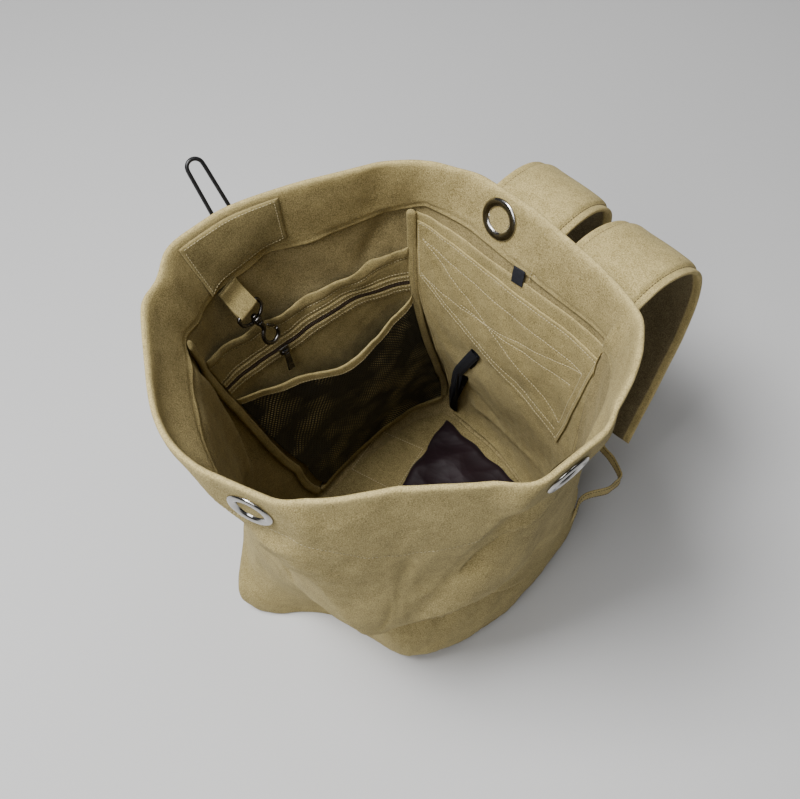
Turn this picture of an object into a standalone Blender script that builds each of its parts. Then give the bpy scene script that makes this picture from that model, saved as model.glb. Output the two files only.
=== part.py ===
"""Canvas rucksack: a soft canvas tube with an open, hemmed mouth, inside pockets and two padded shoulder straps."""
import math
from collections import namedtuple

import bmesh
import bpy
import numpy as np
from mathutils import Matrix, Vector

MM = 0.001
GAP = 0.3

# Cloth and padding, millimetres
CANVAS = 2.0
LINING_CANVAS = 1.4
NET = 1.0
HEM_LEVEL = 0.862
AROUND = 950.0
TALL = 440.0

# Metal, millimetres
EYELET_OUTER = 38.0
EYELET_HOLE = 21.0
EYELET_BARREL = 24.0
EYELET_FLANGE = 1.6
EYELET_SIDES = 16
STAPLE_WIRE = 3.2

# Columns and levels of the faceted canvas
COLUMNS = 64
LEVELS = (0.0, 0.05, 0.13, 0.22, 0.33, 0.45, 0.56, 0.66, 0.76, HEM_LEVEL, 0.905, 0.95, 1.0)

# The bag's plan at eight stations round it, one row for each height fraction (x and y in millimetres)
STATIONS = ("back", "back_left", "left", "front_left", "front", "front_right", "right", "back_right")
STATION_SOFTNESS = (1.05, 0.62, 1.0, 0.75, 1.0, 0.85, 1.0, 0.75)
RIM_HEIGHTS = (428, 428, 438, 438, 436, 455, 474, 462)
BACK, LEFT, FRONT, RIGHT = 0.0, 0.25, 0.5, 0.75

Section = namedtuple("Section", ("level",) + STATIONS)
SECTIONS = (
    Section(0.00, (-2, 122), (-103, 117), (-126, -12), (-77, -193), (-10, -147), (77, -117), (116, -20), (96, 90)),
    Section(0.05, (-2, 129), (-108, 124), (-130, -12), (-84, -199), (-8, -149), (83, -123), (119, -22), (102, 95)),
    Section(0.22, (-4, 120), (-106, 108), (-133, -16), (-105, -165), (-2, -174), (86, -127), (116, -32), (106, 85)),
    Section(0.45, (-10, 90), (-104, 82), (-138, -26), (-120, -140), (6, -200), (92, -136), (127, -44), (110, 65)),
    Section(0.68, (-18, 74), (-108, 68), (-151, -41), (-132, -138), (9, -205), (93, -140), (139, -54), (108, 56)),
    Section(0.85, (-30, 81), (-116, 71), (-162, -55), (-139, -144), (10, -206), (93, -142), (147, -58), (108, 58)),
    Section(1.00, (-37, 103), (-119, 68), (-173, -71), (-147, -165), (13, -201), (92, -141), (157, -58), (117, 58)),
)

# Dents and ridges of the cloth: a straight path on it, how far it stands out and its half width (millimetres)
Fold = namedtuple("Fold", "name start_at start_level end_at end_level stands_out width")
FOLDS = (
    Fold("mouth bulge at the front left", 0.452, 1.08, 0.454, 0.98, 24, 38),
    Fold("dent in the left of the mouth", 0.345, 1.00, 0.350, 0.86, -7, 22),
    Fold("long ridge below the front eyelet", 0.505, 0.76, 0.566, 0.20, 8, 24),
    Fold("hollow left of the ridge", 0.462, 0.62, 0.520, 0.10, -12, 34),
    Fold("crease from the right eyelet", 0.725, 0.84, 0.610, 0.42, -7, 20),
    Fold("overhang of the right front", 0.700, 0.42, 0.590, 0.24, 9, 20),
    Fold("tuck below the overhang", 0.700, 0.30, 0.600, 0.15, -9, 15),
    Fold("low fold over the base", 0.690, 0.17, 0.610, 0.08, 6, 12),
    Fold("slack of the left side", 0.250, 0.50, 0.250, 0.20, -5, 60),
    Fold("hollow of the back above the base", 0.990, 0.42, 0.990, 0.30, -4, 60),
)

# Where the two inside seams and the sewn pieces lie: (place round the bag, height fraction)
SEAM_BACK_LEFT = ((0.0, 0.1245), (0.35, 0.1215), (0.60, 0.1185), (1.0, 0.1155))
SEAM_FRONT_LEFT = ((0.0, 0.279), (0.21, 0.300), (0.38, 0.3255), (0.60, 0.358), (0.76, 0.380), (1.0, 0.388))
STAPLE_PATCH = ((0.3010, 0.990), (0.2127, 0.990), (0.2200, 0.887), (0.3120, 0.868))
BACK_PATCH = ((0.1030, 0.850), (-0.1130, 0.835), (-0.0849, 0.4875), (0.1020, 0.705))
SLIP_TOP = ((0.0, 0.770), (0.18, 0.755), (0.31, 0.742), (0.55, 0.722), (1.0, 0.782))
ZIP_LINE = ((0.0, 0.668), (0.33, 0.668), (0.60, 0.6375), (1.0, 0.662))
NET_TOP = ((0.0, 0.612), (0.19, 0.575), (0.40, 0.530), (0.69, 0.5575), (1.0, 0.598))

# Shoulder straps (millimetres): centre line of the right one; the left one mirrors it about BACK_CENTRE_X
STRAP_WIDTH = 76.0
STRAP_THICK = 12.0
BACK_CENTRE_X = 5.0
STRAP_OFFSET_X = 42.0
STRAP_TOP_IN = {-1: 1.9, 1: 7.0}
StrapPoint = namedtuple("StrapPoint", "x_out y z")
STRAP_ROUTE = (
    StrapPoint(0, 90, 338), StrapPoint(0, 92, 352), StrapPoint(0, 103, 367), StrapPoint(1, 122, 375),
    StrapPoint(2, 152, 377), StrapPoint(4, 183, 366), StrapPoint(6, 211, 338), StrapPoint(9, 220, 296),
    StrapPoint(12, 214, 250), StrapPoint(15, 199, 208), StrapPoint(19, 178, 165), StrapPoint(22, 160, 124),
)
LOWER_WEBBING_ROUTE = (
    StrapPoint(22, 159.2, 122.6), StrapPoint(23.5, 156.2, 114.4), StrapPoint(32, 154, 101), StrapPoint(53, 154, 91),
    StrapPoint(71, 144, 92), StrapPoint(74, 124, 101),
)
LOWER_WEBBING_WIDTH = 20.0
LOWER_WEBBING_THICK = 2.4
LOWER_WEBBING_LEVEL = 0.25
LOWER_WEBBING_SEWN = {"left": (0.134, 0.145, 0.156), "right": (0.868, 0.857, 0.846)}

# The canvas yoke across the back that holds the tops of the straps: its ends and heights
YOKE_ENDS = (-0.098, 0.092)
YOKE_LEVELS = (0.745, 0.76, 0.80, 0.835)
YOKE_THICK = 2.0

# The elastic strap on the divider: (place, height fraction, stand off the canvas in millimetres)
SLEEVE_STRAP_ROUTE = ((0.018, 0.556, 8.4), (0.040, 0.448, 10.4), (0.062, 0.335, 13.6), (0.076, 0.22, 17.6),
                      (0.084, 0.13, 19.4), (0.083, 0.06, 20.7))
SLEEVE_STRAP_WIDTH = 9.0
SLEEVE_STRAP_THICK = 1.6

# The staple, millimetres
STAPLE_AT = 0.2508
STAPLE_LEVEL = 0.925
STAPLE_SPREAD = 16.0
STAPLE_OUT = 4.5
STAPLE_FOOT_IN = 7.6
STAPLE_BEND = (-204.0, -64.0, 463.0)
STAPLE_LEAN = -6.4
STAPLE_PATCH_PUFF = 5.6

# The snap hook, millimetres along its own axis from the bar's centre
HOOK_AT = 0.2900
HOOK_LEVEL = 0.800
HOOK_OFF_WALL = 15.5
HOOK_HANGS = (0.42, 0.25, -0.873)
HOOK_WIRE = 1.5
HOOK_BAR_HALF = 12.4
HOOK_RADIUS = 7.4
HOOK_RING_AT = 34.0
HOOK_PIVOT = (-3.3, 24.9)
HOOK_TAB_WIDTH = 20.0

# The left pockets and the zip, millimetres
POCKET_INSET_BACK = 0.0175
POCKET_INSET_FRONT = 0.0125
POCKET_FOOT = 0.06
SLIP_SITS = 3.8
SLIP_FOOT_SITS = 2.5
SLIP_BULGE = 9.0
ZIP_THICK = 1.2
ZIP_HALF_WIDTH = 7.0
ZIP_SLIDER_PART = 0.66
ZIP_PULL_LENGTH = 25.0
ZIP_PULL_LIFT = 4.4
ZIP_PULL_END = 0.9
NET_SITS = 7.2
NET_BULGE = 22.0
NET_BINDING_HALF_WIDTH = 5.5
NET_BINDING_THICK = 1.6

# The divider on the back panel: how far it stands off the cloth at each height
SLEEVE_END = -0.115
SLEEVE_FREE_EDGE = ((0.045, 0.086), (0.22, 0.0915), (0.50, 0.098), (0.65, 0.108), (0.85, 0.110))
SLEEVE_SITS = ((0.0, 17.0), (0.13, 16.0), (0.33, 10.0), (0.66, 4.0), (0.84, 2.6))
PATCH_OFF_SLEEVE = 1.3
HEM_TAB = ((-0.0245, 0.892), (-0.0340, 0.892), (-0.0335, 0.858), (-0.0243, 0.858))

# The floor, millimetres
FLOOR_CENTRE = (0.0, -20.0)
LINING_CORNERS = ((-78, 8), (14, 40), (34, 100), (-80, 104))


def hermite(first, last, first_slope, last_slope, part):
    square, cube = part ** 2, part ** 3
    return ((2 * cube - 3 * square + 1) * first + (cube - 2 * square + part) * first_slope
            + (3 * square - 2 * cube) * last + (cube - square) * last_slope)


def smooth_rows(levels, rows, level):
    """Rows of a table, blended smoothly at the given heights."""
    levels, rows = np.asarray(levels, float), np.asarray(rows, float)
    slopes = np.gradient(rows, levels, axis=0)
    below = np.clip(np.searchsorted(levels, level, side="right") - 1, 0, len(levels) - 2)
    shape = level.shape + (1,) * (rows.ndim - 1)
    span = (levels[below + 1] - levels[below]).reshape(shape)
    part = (level - levels[below]).reshape(shape) / span
    return hermite(rows[below], rows[below + 1], slopes[below] * span, slopes[below + 1] * span, part)


def round_ring(values, at):
    """A smooth closed curve through eight stations; values is (places, 8, size)."""
    count = len(STATIONS)
    softness = np.asarray(STATION_SOFTNESS)[:, None]
    slopes = (np.roll(values, -1, axis=1) - np.roll(values, 1, axis=1)) * 0.5 * softness
    place = np.mod(at, 1.0) * count
    first = np.floor(place).astype(int) % count
    last = (first + 1) % count
    part = (place - np.floor(place))[:, None]
    row = np.arange(len(at))
    return hermite(values[row, first], values[row, last], slopes[row, first], slopes[row, last], part)


def plan_point(at, level):
    levels = [section.level for section in SECTIONS]
    stations = smooth_rows(levels, [section[1:] for section in SECTIONS], level)
    rims = np.broadcast_to(np.asarray(RIM_HEIGHTS, float)[:, None], (len(at), len(STATIONS), 1))
    height = round_ring(rims, at) * level[:, None]
    return np.hstack([round_ring(stations, at), height])


def outward(at, level):
    step = 0.002
    along = plan_point(at + step, level) - plan_point(at - step, level)
    across = np.stack([along[:, 1], -along[:, 0], np.zeros(len(at))], axis=1)
    return across / np.linalg.norm(across, axis=1, keepdims=True)


def folds_stand_out(at, level):
    total = np.zeros(len(at))
    for fold in FOLDS:
        x = (np.mod(at - fold.start_at + 0.5, 1.0) - 0.5) * AROUND
        y = (level - fold.start_level) * TALL
        run = (fold.end_at - fold.start_at) * AROUND
        rise = (fold.end_level - fold.start_level) * TALL
        part = np.clip((x * run + y * rise) / (run ** 2 + rise ** 2), 0, 1)
        distance = np.hypot(x - part * run, y - part * rise)
        total += fold.stands_out * np.exp(-(distance / fold.width) ** 2)
    return total


def soft_point(at, level, out):
    """A point of the cloth, out millimetres outside its outer face, before the eyelets flatten it."""
    facing = outward(at, level)
    return plan_point(at, level) + facing * (folds_stand_out(at, level) + out)[:, None]


def eyelet_frame(at, height):
    """Centre on the cloth, outward axis and the axes across it, for an eyelet at a place round the mouth."""
    step_at, step_level = 0.018, 0.045
    place = np.array([at, at + step_at, at - step_at, at, at])
    level = np.array([0, 0, 0, step_level, -step_level]) + height
    centre, left, right, up, down = soft_point(place, level, np.zeros(5))
    along = (left - right) / np.linalg.norm(left - right)
    out = np.cross(along, up - down)
    out /= np.linalg.norm(out)
    if np.dot(out, outward(place[:1], level[:1])[0]) < 0:
        out = -out
    middle = (centre + left + right + up + down) / 5
    return middle, out, along, np.cross(out, along)


EYELET_PLACES = {"eyelet_back": (BACK, 0.948), "eyelet_front": (FRONT + 0.004, 0.935),
                 "eyelet_right": (RIGHT + 0.001, 0.935)}
EYELET_FLAT = 31.0
EYELET_BLEND = 52.0


def cloth_point(at, level, out):
    """A point of the cloth, pulled flat round each eyelet."""
    out = np.broadcast_to(np.asarray(out, float), at.shape)
    point = soft_point(at, level, out)
    for centre, axis, along, up in EYELET_FRAMES.values():
        offset = point - centre
        height = offset @ axis
        spread = np.hypot(offset @ along, offset @ up)
        near = (spread < EYELET_BLEND) & (np.abs(height) < EYELET_BLEND * 0.5)
        part = np.clip((EYELET_BLEND - spread) / (EYELET_BLEND - EYELET_FLAT), 0, 1)
        weight = np.where(near, part * part * (3 - 2 * part), 0)
        point = point + ((out - height) * weight)[:, None] * axis
    return point


EYELET_FRAMES = {name: eyelet_frame(*place) for name, place in EYELET_PLACES.items()}


def facet_point(at, level, out):
    """A point on the flat facets between the columns and levels, so that sewn layers stay parallel."""
    column = math.floor(at * COLUMNS + 1e-9)
    part = at * COLUMNS - column
    row = max(index for index, value in enumerate(LEVELS[:-1]) if value <= level + 1e-9)
    rise = (level - LEVELS[row]) / (LEVELS[row + 1] - LEVELS[row])
    places = np.array([column, column + 1, column, column + 1]) / COLUMNS
    heights = np.array([LEVELS[row], LEVELS[row], LEVELS[row + 1], LEVELS[row + 1]])
    low_left, low_right, high_left, high_right = cloth_point(places, heights, np.full(4, float(out)))
    low = low_left * (1 - part) + low_right * part
    high = high_left * (1 - part) + high_right * part
    return (low * (1 - rise) + high * rise) * MM


def between(table, part):
    """A value read from a short table of (part, value) rows."""
    keys = [row[0] for row in table]
    values = [row[1] for row in table]
    return float(np.interp(part, keys, values))


def seam_back_left(level):
    return between(SEAM_BACK_LEFT, level)


def seam_front_left(level):
    return between(SEAM_FRONT_LEFT, level)


def lattice(start, end, step, count_from=0.0):
    """Start, end and every multiple of step between them."""
    low, high = min(start, end), max(start, end)
    inner = [count_from + step * k for k in range(math.ceil((low - count_from) / step),
                                                  math.floor((high - count_from) / step) + 1)]
    values = [low] + [v for v in inner if low + step * 0.2 < v < high - step * 0.2] + [high]
    return values if start <= end else values[::-1]


def material(name, colour, roughness, metallic=0.0):
    made = bpy.data.materials.get(name) or bpy.data.materials.new(name)
    made.use_nodes = True
    shader = made.node_tree.nodes["Principled BSDF"]
    shader.inputs["Base Color"].default_value = (*colour, 1.0)
    shader.inputs["Roughness"].default_value = roughness
    shader.inputs["Metallic"].default_value = metallic
    return made


def place_object(name, mesh, finish, smooth=False):
    mesh.materials.append(finish)
    if smooth:
        mesh.shade_smooth()
        mesh.set_sharp_from_angle(angle=math.radians(40))
    made = bpy.data.objects.new(name, mesh)
    bpy.context.scene.collection.objects.link(made)
    return made


def mesh_from_bmesh(name, shape):
    bmesh.ops.recalc_face_normals(shape, faces=shape.faces)
    if shape.calc_volume(signed=True) < 0:
        bmesh.ops.reverse_faces(shape, faces=shape.faces)
    mesh = bpy.data.meshes.new(name)
    shape.to_mesh(mesh)
    shape.free()
    return mesh


def slab(name, front, back, finish, closed=False):
    """A closed sheet between two grids of points, front[row][column] and back[row][column]."""
    shape = bmesh.new()
    faces = []
    grids = [[[shape.verts.new(point) for point in row] for row in grid] for grid in (front, back)]
    rows, columns = len(front), len(front[0])
    spans = columns if closed else columns - 1
    for grid in grids:
        for i in range(rows - 1):
            for j in range(spans):
                k = (j + 1) % columns
                faces.append((grid[i][j], grid[i][k], grid[i + 1][k], grid[i + 1][j]))
    outside, inside = grids
    for j in range(spans):
        k = (j + 1) % columns
        for i in (0, rows - 1):
            faces.append((outside[i][j], outside[i][k], inside[i][k], inside[i][j]))
    if not closed:
        for i in range(rows - 1):
            for j in (0, columns - 1):
                faces.append((outside[i][j], outside[i + 1][j], inside[i + 1][j], inside[i][j]))
    for face in faces:
        shape.faces.new(face)
    return place_object(name, mesh_from_bmesh(name, shape), finish)


def band(name, centres, sides, ups, width, thick, finish, corner=0.3):
    """A strap swept along its centre line, with rounded long edges."""
    shape = bmesh.new()
    half, deep = width / 2 * MM, thick / 2 * MM
    inset = deep * corner * 2
    outline = ((-half, 0), (-half + inset, deep), (half - inset, deep), (half, 0),
               (half - inset, -deep), (-half + inset, -deep))
    rings = []
    for centre, side, up in zip(centres, sides, ups):
        rings.append([shape.verts.new(centre + side * a + up * b) for a, b in outline])
    for first, last in zip(rings, rings[1:]):
        for j in range(len(outline)):
            k = (j + 1) % len(outline)
            shape.faces.new((first[j], first[k], last[k], last[j]))
    shape.faces.new(rings[0])
    shape.faces.new(rings[-1])
    return place_object(name, mesh_from_bmesh(name, shape), finish)


def smooth_route(points, count):
    """Points spaced along a smooth curve through the route's own points."""
    points = np.asarray(points, float)
    reach = np.concatenate([[0], np.cumsum(np.linalg.norm(np.diff(points, axis=0), axis=1))])
    return smooth_rows(reach, points, np.linspace(0, reach[-1], count))


def route_frames(points, side):
    """Tangent-based frames along a route: centres in metres, side and up directions."""
    tangents = np.gradient(points, axis=0)
    centres, sides, ups = [], [], []
    for point, tangent in zip(points, tangents):
        ahead = Vector(tangent).normalized()
        across = Vector(side)
        across = (across - ahead * across.dot(ahead)).normalized()
        centres.append(Vector(point) * MM)
        sides.append(across)
        ups.append(across.cross(ahead).normalized())
    return centres, sides, ups


def tube(name, points, radii, finish, closed=False, sides=8, smooth=True):
    """A round bar swept through points given in millimetres, with a radius at each one."""
    points = [Vector(point) for point in points]
    count = len(points)
    if closed:
        tangents = [points[(k + 1) % count] - points[k - 1] for k in range(count)]
    else:
        tangents = [points[min(k + 1, count - 1)] - points[max(k - 1, 0)] for k in range(count)]
    tangents = [tangent.normalized() for tangent in tangents]
    side = tangents[0].orthogonal().normalized()
    shape = bmesh.new()
    rings = []
    for point, tangent, radius in zip(points, tangents, radii):
        side = (side - tangent * side.dot(tangent)).normalized()
        up = tangent.cross(side)
        ring = []
        for j in range(sides):
            angle = 2 * math.pi * j / sides
            offset = side * (radius * math.cos(angle)) + up * (radius * math.sin(angle))
            ring.append(shape.verts.new((point + offset) * MM))
        rings.append(ring)
    pairs = list(zip(rings, rings[1:]))
    for first, last in pairs:
        for j in range(sides):
            k = (j + 1) % sides
            shape.faces.new((first[j], first[k], last[k], last[j]))
    if closed:
        first, last = rings[-1], rings[0]
        shift = min(range(sides), key=lambda s: (first[0].co - last[s].co).length)
        for j in range(sides):
            k = (j + 1) % sides
            shape.faces.new((first[j], first[k], last[(k + shift) % sides], last[(j + shift) % sides]))
    else:
        shape.faces.new(rings[0])
        shape.faces.new(rings[-1])
    return place_object(name, mesh_from_bmesh(name, shape), finish, smooth=smooth)


def hide_tool(tool):
    tool.hide_render = True
    tool.display_type = "WIRE"
    tool.hide_set(True)


def boolean(target, tool, operation):
    change = target.modifiers.new(operation.lower(), "BOOLEAN")
    change.operation = operation
    change.object = tool
    change.solver = "EXACT"
    hide_tool(tool)


def rod_tool(name, centre, axis, radius, length, segments=20):
    """A cylinder that only cuts, centred at a point in millimetres."""
    shape = bmesh.new()
    turn = Vector(axis).to_track_quat("Z", "Y").to_matrix().to_4x4()
    bmesh.ops.create_cone(shape, cap_ends=True, segments=segments, radius1=radius * MM, radius2=radius * MM,
                          depth=length * MM, matrix=Matrix.Translation(Vector(centre) * MM) @ turn)
    return place_object(name, mesh_from_bmesh(name, shape), material("tool", (0.5, 0.5, 0.5), 0.5))


def canvas_body(finish):
    """The tube of canvas with its flat bottom: two walls of facets joined at the rim and closed by two floors."""
    shape = bmesh.new()
    places = np.arange(COLUMNS) / COLUMNS
    walls = []
    for out in (0.0, -CANVAS):
        rings = []
        for level in LEVELS:
            points = cloth_point(places, np.full(COLUMNS, level), out)
            if out and level == 0.0:
                points[:, 2] = CANVAS
            rings.append([shape.verts.new(point * MM) for point in points])
        walls.append(rings)
    for rings in walls:
        for low, high in zip(rings, rings[1:]):
            for j in range(COLUMNS):
                k = (j + 1) % COLUMNS
                shape.faces.new((low[j], low[k], high[k], high[j]))
    for j in range(COLUMNS):
        k = (j + 1) % COLUMNS
        shape.faces.new((walls[0][-1][j], walls[0][-1][k], walls[1][-1][k], walls[1][-1][j]))
    shape.faces.new(walls[0][0])
    shape.faces.new(walls[1][0])
    return place_object("canvas_body", mesh_from_bmesh("canvas_body", shape), finish)


def ring_slab(name, levels, outer, inner, finish):
    front = [[facet_point(j / COLUMNS, level, outer) for j in range(COLUMNS)] for level in levels]
    back = [[facet_point(j / COLUMNS, level, inner) for j in range(COLUMNS)] for level in levels]
    return slab(name, front, back, finish, closed=True)


def left_panel_place(part, level):
    """A place on the left inside panel: part 0 at the back seam and 1 at the front seam."""
    start = seam_back_left(level) + POCKET_INSET_BACK
    return start + (seam_front_left(level) - POCKET_INSET_FRONT - start) * part


def pocket_away(part, level):
    """How far the slip pocket's wall stands off the canvas: closed at its foot, gaping at its mouth."""
    up = max(level - POCKET_FOOT, 0.0) / (between(SLIP_TOP, part) - POCKET_FOOT)
    sits = SLIP_FOOT_SITS + (SLIP_SITS - SLIP_FOOT_SITS) * min(up / 0.08, 1.0)
    return sits + SLIP_BULGE * math.sin(math.pi * part) ** 0.8 * up ** 1.5


def net_away(part, level):
    up = max(level - POCKET_FOOT, 0.0) / (between(NET_TOP, part) - POCKET_FOOT)
    return NET_SITS + NET_BULGE * math.sin(math.pi * part) ** 0.8 * up ** 1.5


def left_panel_sheet(name, top_table, away, thick, finish, columns=13):
    """A pocket wall on the left panel; away(part, level) is how far it stands off the canvas."""
    lowest_top = min(level for _, level in top_table)
    fixed = [level for level in LEVELS if POCKET_FOOT + 0.03 < level < lowest_top - 0.02]
    front, back = [], []
    for row in [POCKET_FOOT] + fixed + [None]:
        near, far = [], []
        for j in range(columns + 1):
            part = j / columns
            level = between(top_table, part) if row is None else row
            at = left_panel_place(part, level)
            near.append(facet_point(at, level, -away(part, level)))
            far.append(facet_point(at, level, -away(part, level) - thick))
        front.append(near)
        back.append(far)
    return slab(name, front, back, finish)


def strip_on_left_panel(name, table, half_width, away, thick, finish, columns=13):
    """A narrow strip that follows a line across the left panel, such as a zip or a binding."""
    front, back = [], []
    for side in (-1, 1):
        near, far = [], []
        for j in range(columns + 1):
            part = j / columns
            level = between(table, part) + side * half_width / TALL
            at = left_panel_place(part, level)
            near.append(facet_point(at, level, -away(part, level)))
            far.append(facet_point(at, level, -away(part, level) - thick))
        front.append(near)
        back.append(far)
    return slab(name, front, back, finish)


def seam_binding(name, line, width, sits, thick, finish):
    """A bound seam allowance that stands in a corner, along a line of (place, level)."""
    front, back = [], []
    for side in (-0.5, 0.5):
        near = [facet_point(at + side * width / AROUND, level, -sits) for at, level in line]
        far = [facet_point(at + side * width * 0.5 / AROUND, level, -sits - thick) for at, level in line]
        front.append(near)
        back.append(far)
    return slab(name, front, back, finish)


def eyelet(name, outside, inside, finish):
    """A round two-part eyelet through the hem: its turned section spun round its axis."""
    centre, axis, along, _ = EYELET_FRAMES[name]
    hole, barrel, outer = EYELET_HOLE / 2, EYELET_BARREL / 2, EYELET_OUTER / 2
    flange, rim = EYELET_FLANGE, 1.0
    section = (
        (hole, inside - rim), (hole, outside + rim), (hole + 1.2, outside + flange),
        ((barrel + outer) / 2, outside + flange * 0.85), (outer, outside + 0.5), (outer, outside),
        (barrel, outside), (barrel, inside), (outer, inside), (outer, inside - 0.5),
        ((barrel + outer) / 2, inside - flange * 0.7), (hole + 1.2, inside - flange * 0.85),
    )
    shape = bmesh.new()
    turn = Matrix((along, np.cross(axis, along), axis)).transposed().to_4x4()
    place = Matrix.Translation(Vector(centre) * MM) @ turn
    segments = EYELET_SIDES
    rings = []
    for k in range(segments):
        angle = 2 * math.pi * k / segments
        rings.append([shape.verts.new(place @ Vector((radius * math.cos(angle) * MM, radius * math.sin(angle) * MM,
                                                      height * MM))) for radius, height in section])
    for k in range(segments):
        first, last = rings[k], rings[(k + 1) % segments]
        for j in range(len(section)):
            m = (j + 1) % len(section)
            shape.faces.new((first[j], first[m], last[m], last[j]))
    return place_object(name, mesh_from_bmesh(name, shape), finish, smooth=True)


def outer_face_holes(targets):
    """Round holes through the canvas and its hem for the eyelet barrels and the staple's legs."""
    cutters = []
    for name, (centre, axis, _, _) in EYELET_FRAMES.items():
        cutters.append(rod_tool("hole_for_" + name, centre, axis, EYELET_BARREL / 2 + GAP, 24, segments=24))
    for number, (centre, axis) in enumerate(staple_legs()):
        cutters.append(rod_tool(f"hole_for_leg_{number}", centre, axis, STAPLE_WIRE / 2 + GAP, 16, segments=12))
    for target in targets:
        for cutter in cutters:
            boolean(target, cutter, "DIFFERENCE")


def staple_legs():
    """Where the staple's two legs pass through the hem, and the way they point."""
    axis = outward(np.array([STAPLE_AT]), np.array([STAPLE_LEVEL]))[0]
    along = np.array([-axis[1], axis[0], 0.0])
    middle = Vector(facet_point(STAPLE_AT, STAPLE_LEVEL, 0) / MM)
    return [(middle + Vector(along) * side * STAPLE_SPREAD / 2, Vector(axis)) for side in (1, -1)]


def staple_route():
    """The closed wire: a foot inside the hem, two legs out through it, then up and a little aside to a bend."""
    (first, axis), (last, _) = staple_legs()
    middle = (first + last) / 2
    side = (last - first).normalized()
    bend = Vector(STAPLE_BEND)
    bend -= side * (bend - middle).dot(side)
    rise = (bend - (middle + axis * STAPLE_OUT)).normalized()
    half = STAPLE_SPREAD / 2
    narrow = half * 0.8
    half_route = [middle - axis * STAPLE_FOOT_IN]
    for reach, sideways in ((-STAPLE_FOOT_IN, half - 3.0), (-STAPLE_FOOT_IN + 0.9, half - 0.9),
                            (-STAPLE_FOOT_IN + 3.0, half), (STAPLE_OUT - 3.0, half)):
        half_route.append(middle + axis * reach + side * sideways)
    elbow = middle + axis * STAPLE_OUT
    half_route.append(elbow - axis * 0.6 + rise * 0.9 + side * half)
    half_route.append(elbow + rise * 3.0 + side * half)
    length = (bend - elbow).length
    for part in (0.35, 0.6, 0.84):
        half_route.append(elbow + rise * length * part + side * (half + (narrow - half) * part))
    for angle in (25, 50, 72):
        turn = math.radians(angle)
        half_route.append(bend - rise * narrow * (1 - math.sin(turn)) + side * narrow * math.cos(turn))
    mirrored = [point - side * 2 * (point - middle).dot(side) for point in half_route[1:]]
    route = [bend] + half_route[::-1] + mirrored
    return [point + side * STAPLE_LEAN * max(0.0, (point - elbow).dot(rise) / length) for point in route]


def hook_frame():
    """The snap hook's own axes: its bar's centre, the way it hangs, across its flat side and out of it."""
    start = Vector(facet_point(HOOK_AT, HOOK_LEVEL, -HOOK_OFF_WALL) / MM)
    down = Vector(HOOK_HANGS).normalized()
    axis = Vector(outward(np.array([HOOK_AT]), np.array([HOOK_LEVEL]))[0])
    across = Vector((-axis.y, axis.x, 0))
    across = (across - down * across.dot(down)).normalized()
    return start, down, across, across.cross(down).normalized()


def hook_point(across_by, down_by, out_by=0.0):
    start, down, across, out = hook_frame()
    return start + across * across_by + down * down_by + out * out_by


def hook_tab(finish):
    """Canvas webbing sewn under the hem and folded round the bar of the snap hook."""
    start, down, across, out = hook_frame()
    turn_radius = HOOK_WIRE + 1.1
    top_outer = Vector(facet_point(HOOK_AT, HEM_LEVEL - 0.0066, -4.0) / MM)
    mid_outer = Vector(facet_point(HOOK_AT, HEM_LEVEL - 0.033, -4.4) / MM)
    normal = Vector(outward(np.array([HOOK_AT]), np.array([HOOK_LEVEL]))[0])
    travel = (start - mid_outer).normalized()
    near = (normal - travel * normal.dot(travel)).normalized()
    route = [top_outer, mid_outer, start + near * turn_radius - travel * 2.5]
    for angle in range(0, 181, 30):
        turn = math.radians(angle)
        route.append(start + near * turn_radius * math.cos(turn) + travel * turn_radius * math.sin(turn))
    route.append(start - near * turn_radius - travel * 2.5)
    route.append(mid_outer - normal * 2.4)
    centres = [point * MM for point in route]
    sides, ups = [], []
    for k, point in enumerate(route):
        ahead = (route[min(k + 1, len(route) - 1)] - route[max(k - 1, 0)]).normalized()
        sides.append(across)
        ups.append(across.cross(ahead).normalized())
    return band("hook_tab", centres, sides, ups, HOOK_TAB_WIDTH, 1.3, finish, corner=0.15)


def hook_loop(finish):
    """The bar and frame of the snap hook, with the collar that its swivel turns in."""
    wide, tall = HOOK_BAR_HALF, 7.0
    half = [(0, 0), (wide - 2.4, 0), (wide - 0.7, 0.7), (wide, 2.4), (wide, tall), (wide - 3.2, tall + 3.4), (3.7, 12.9)]
    route = [(-x, d) for x, d in half[:0:-1]] + half
    points = [hook_point(x, d) for x, d in route]
    loop = tube("hook_loop", points, [HOOK_WIRE] * len(points), finish, sides=8)
    _, down, across, out = hook_frame()
    section = ((1.8, 10.6), (3.6, 10.6), (4.3, 11.4), (4.3, 15.2), (3.6, 16.0), (1.8, 16.0))
    shape = bmesh.new()
    rings = []
    segments = 14
    for k in range(segments):
        angle = 2 * math.pi * k / segments
        rings.append([shape.verts.new(hook_point(radius * math.cos(angle), depth, radius * math.sin(angle)) * MM)
                      for radius, depth in section])
    for k in range(segments):
        first, last = rings[k], rings[(k + 1) % segments]
        for j in range(len(section)):
            m = (j + 1) % len(section)
            shape.faces.new((first[j], first[m], last[m], last[j]))
    collar = place_object("hook_collar_tool", mesh_from_bmesh("hook_collar_tool", shape), finish, smooth=True)
    boolean(loop, collar, "UNION")
    return loop


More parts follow.
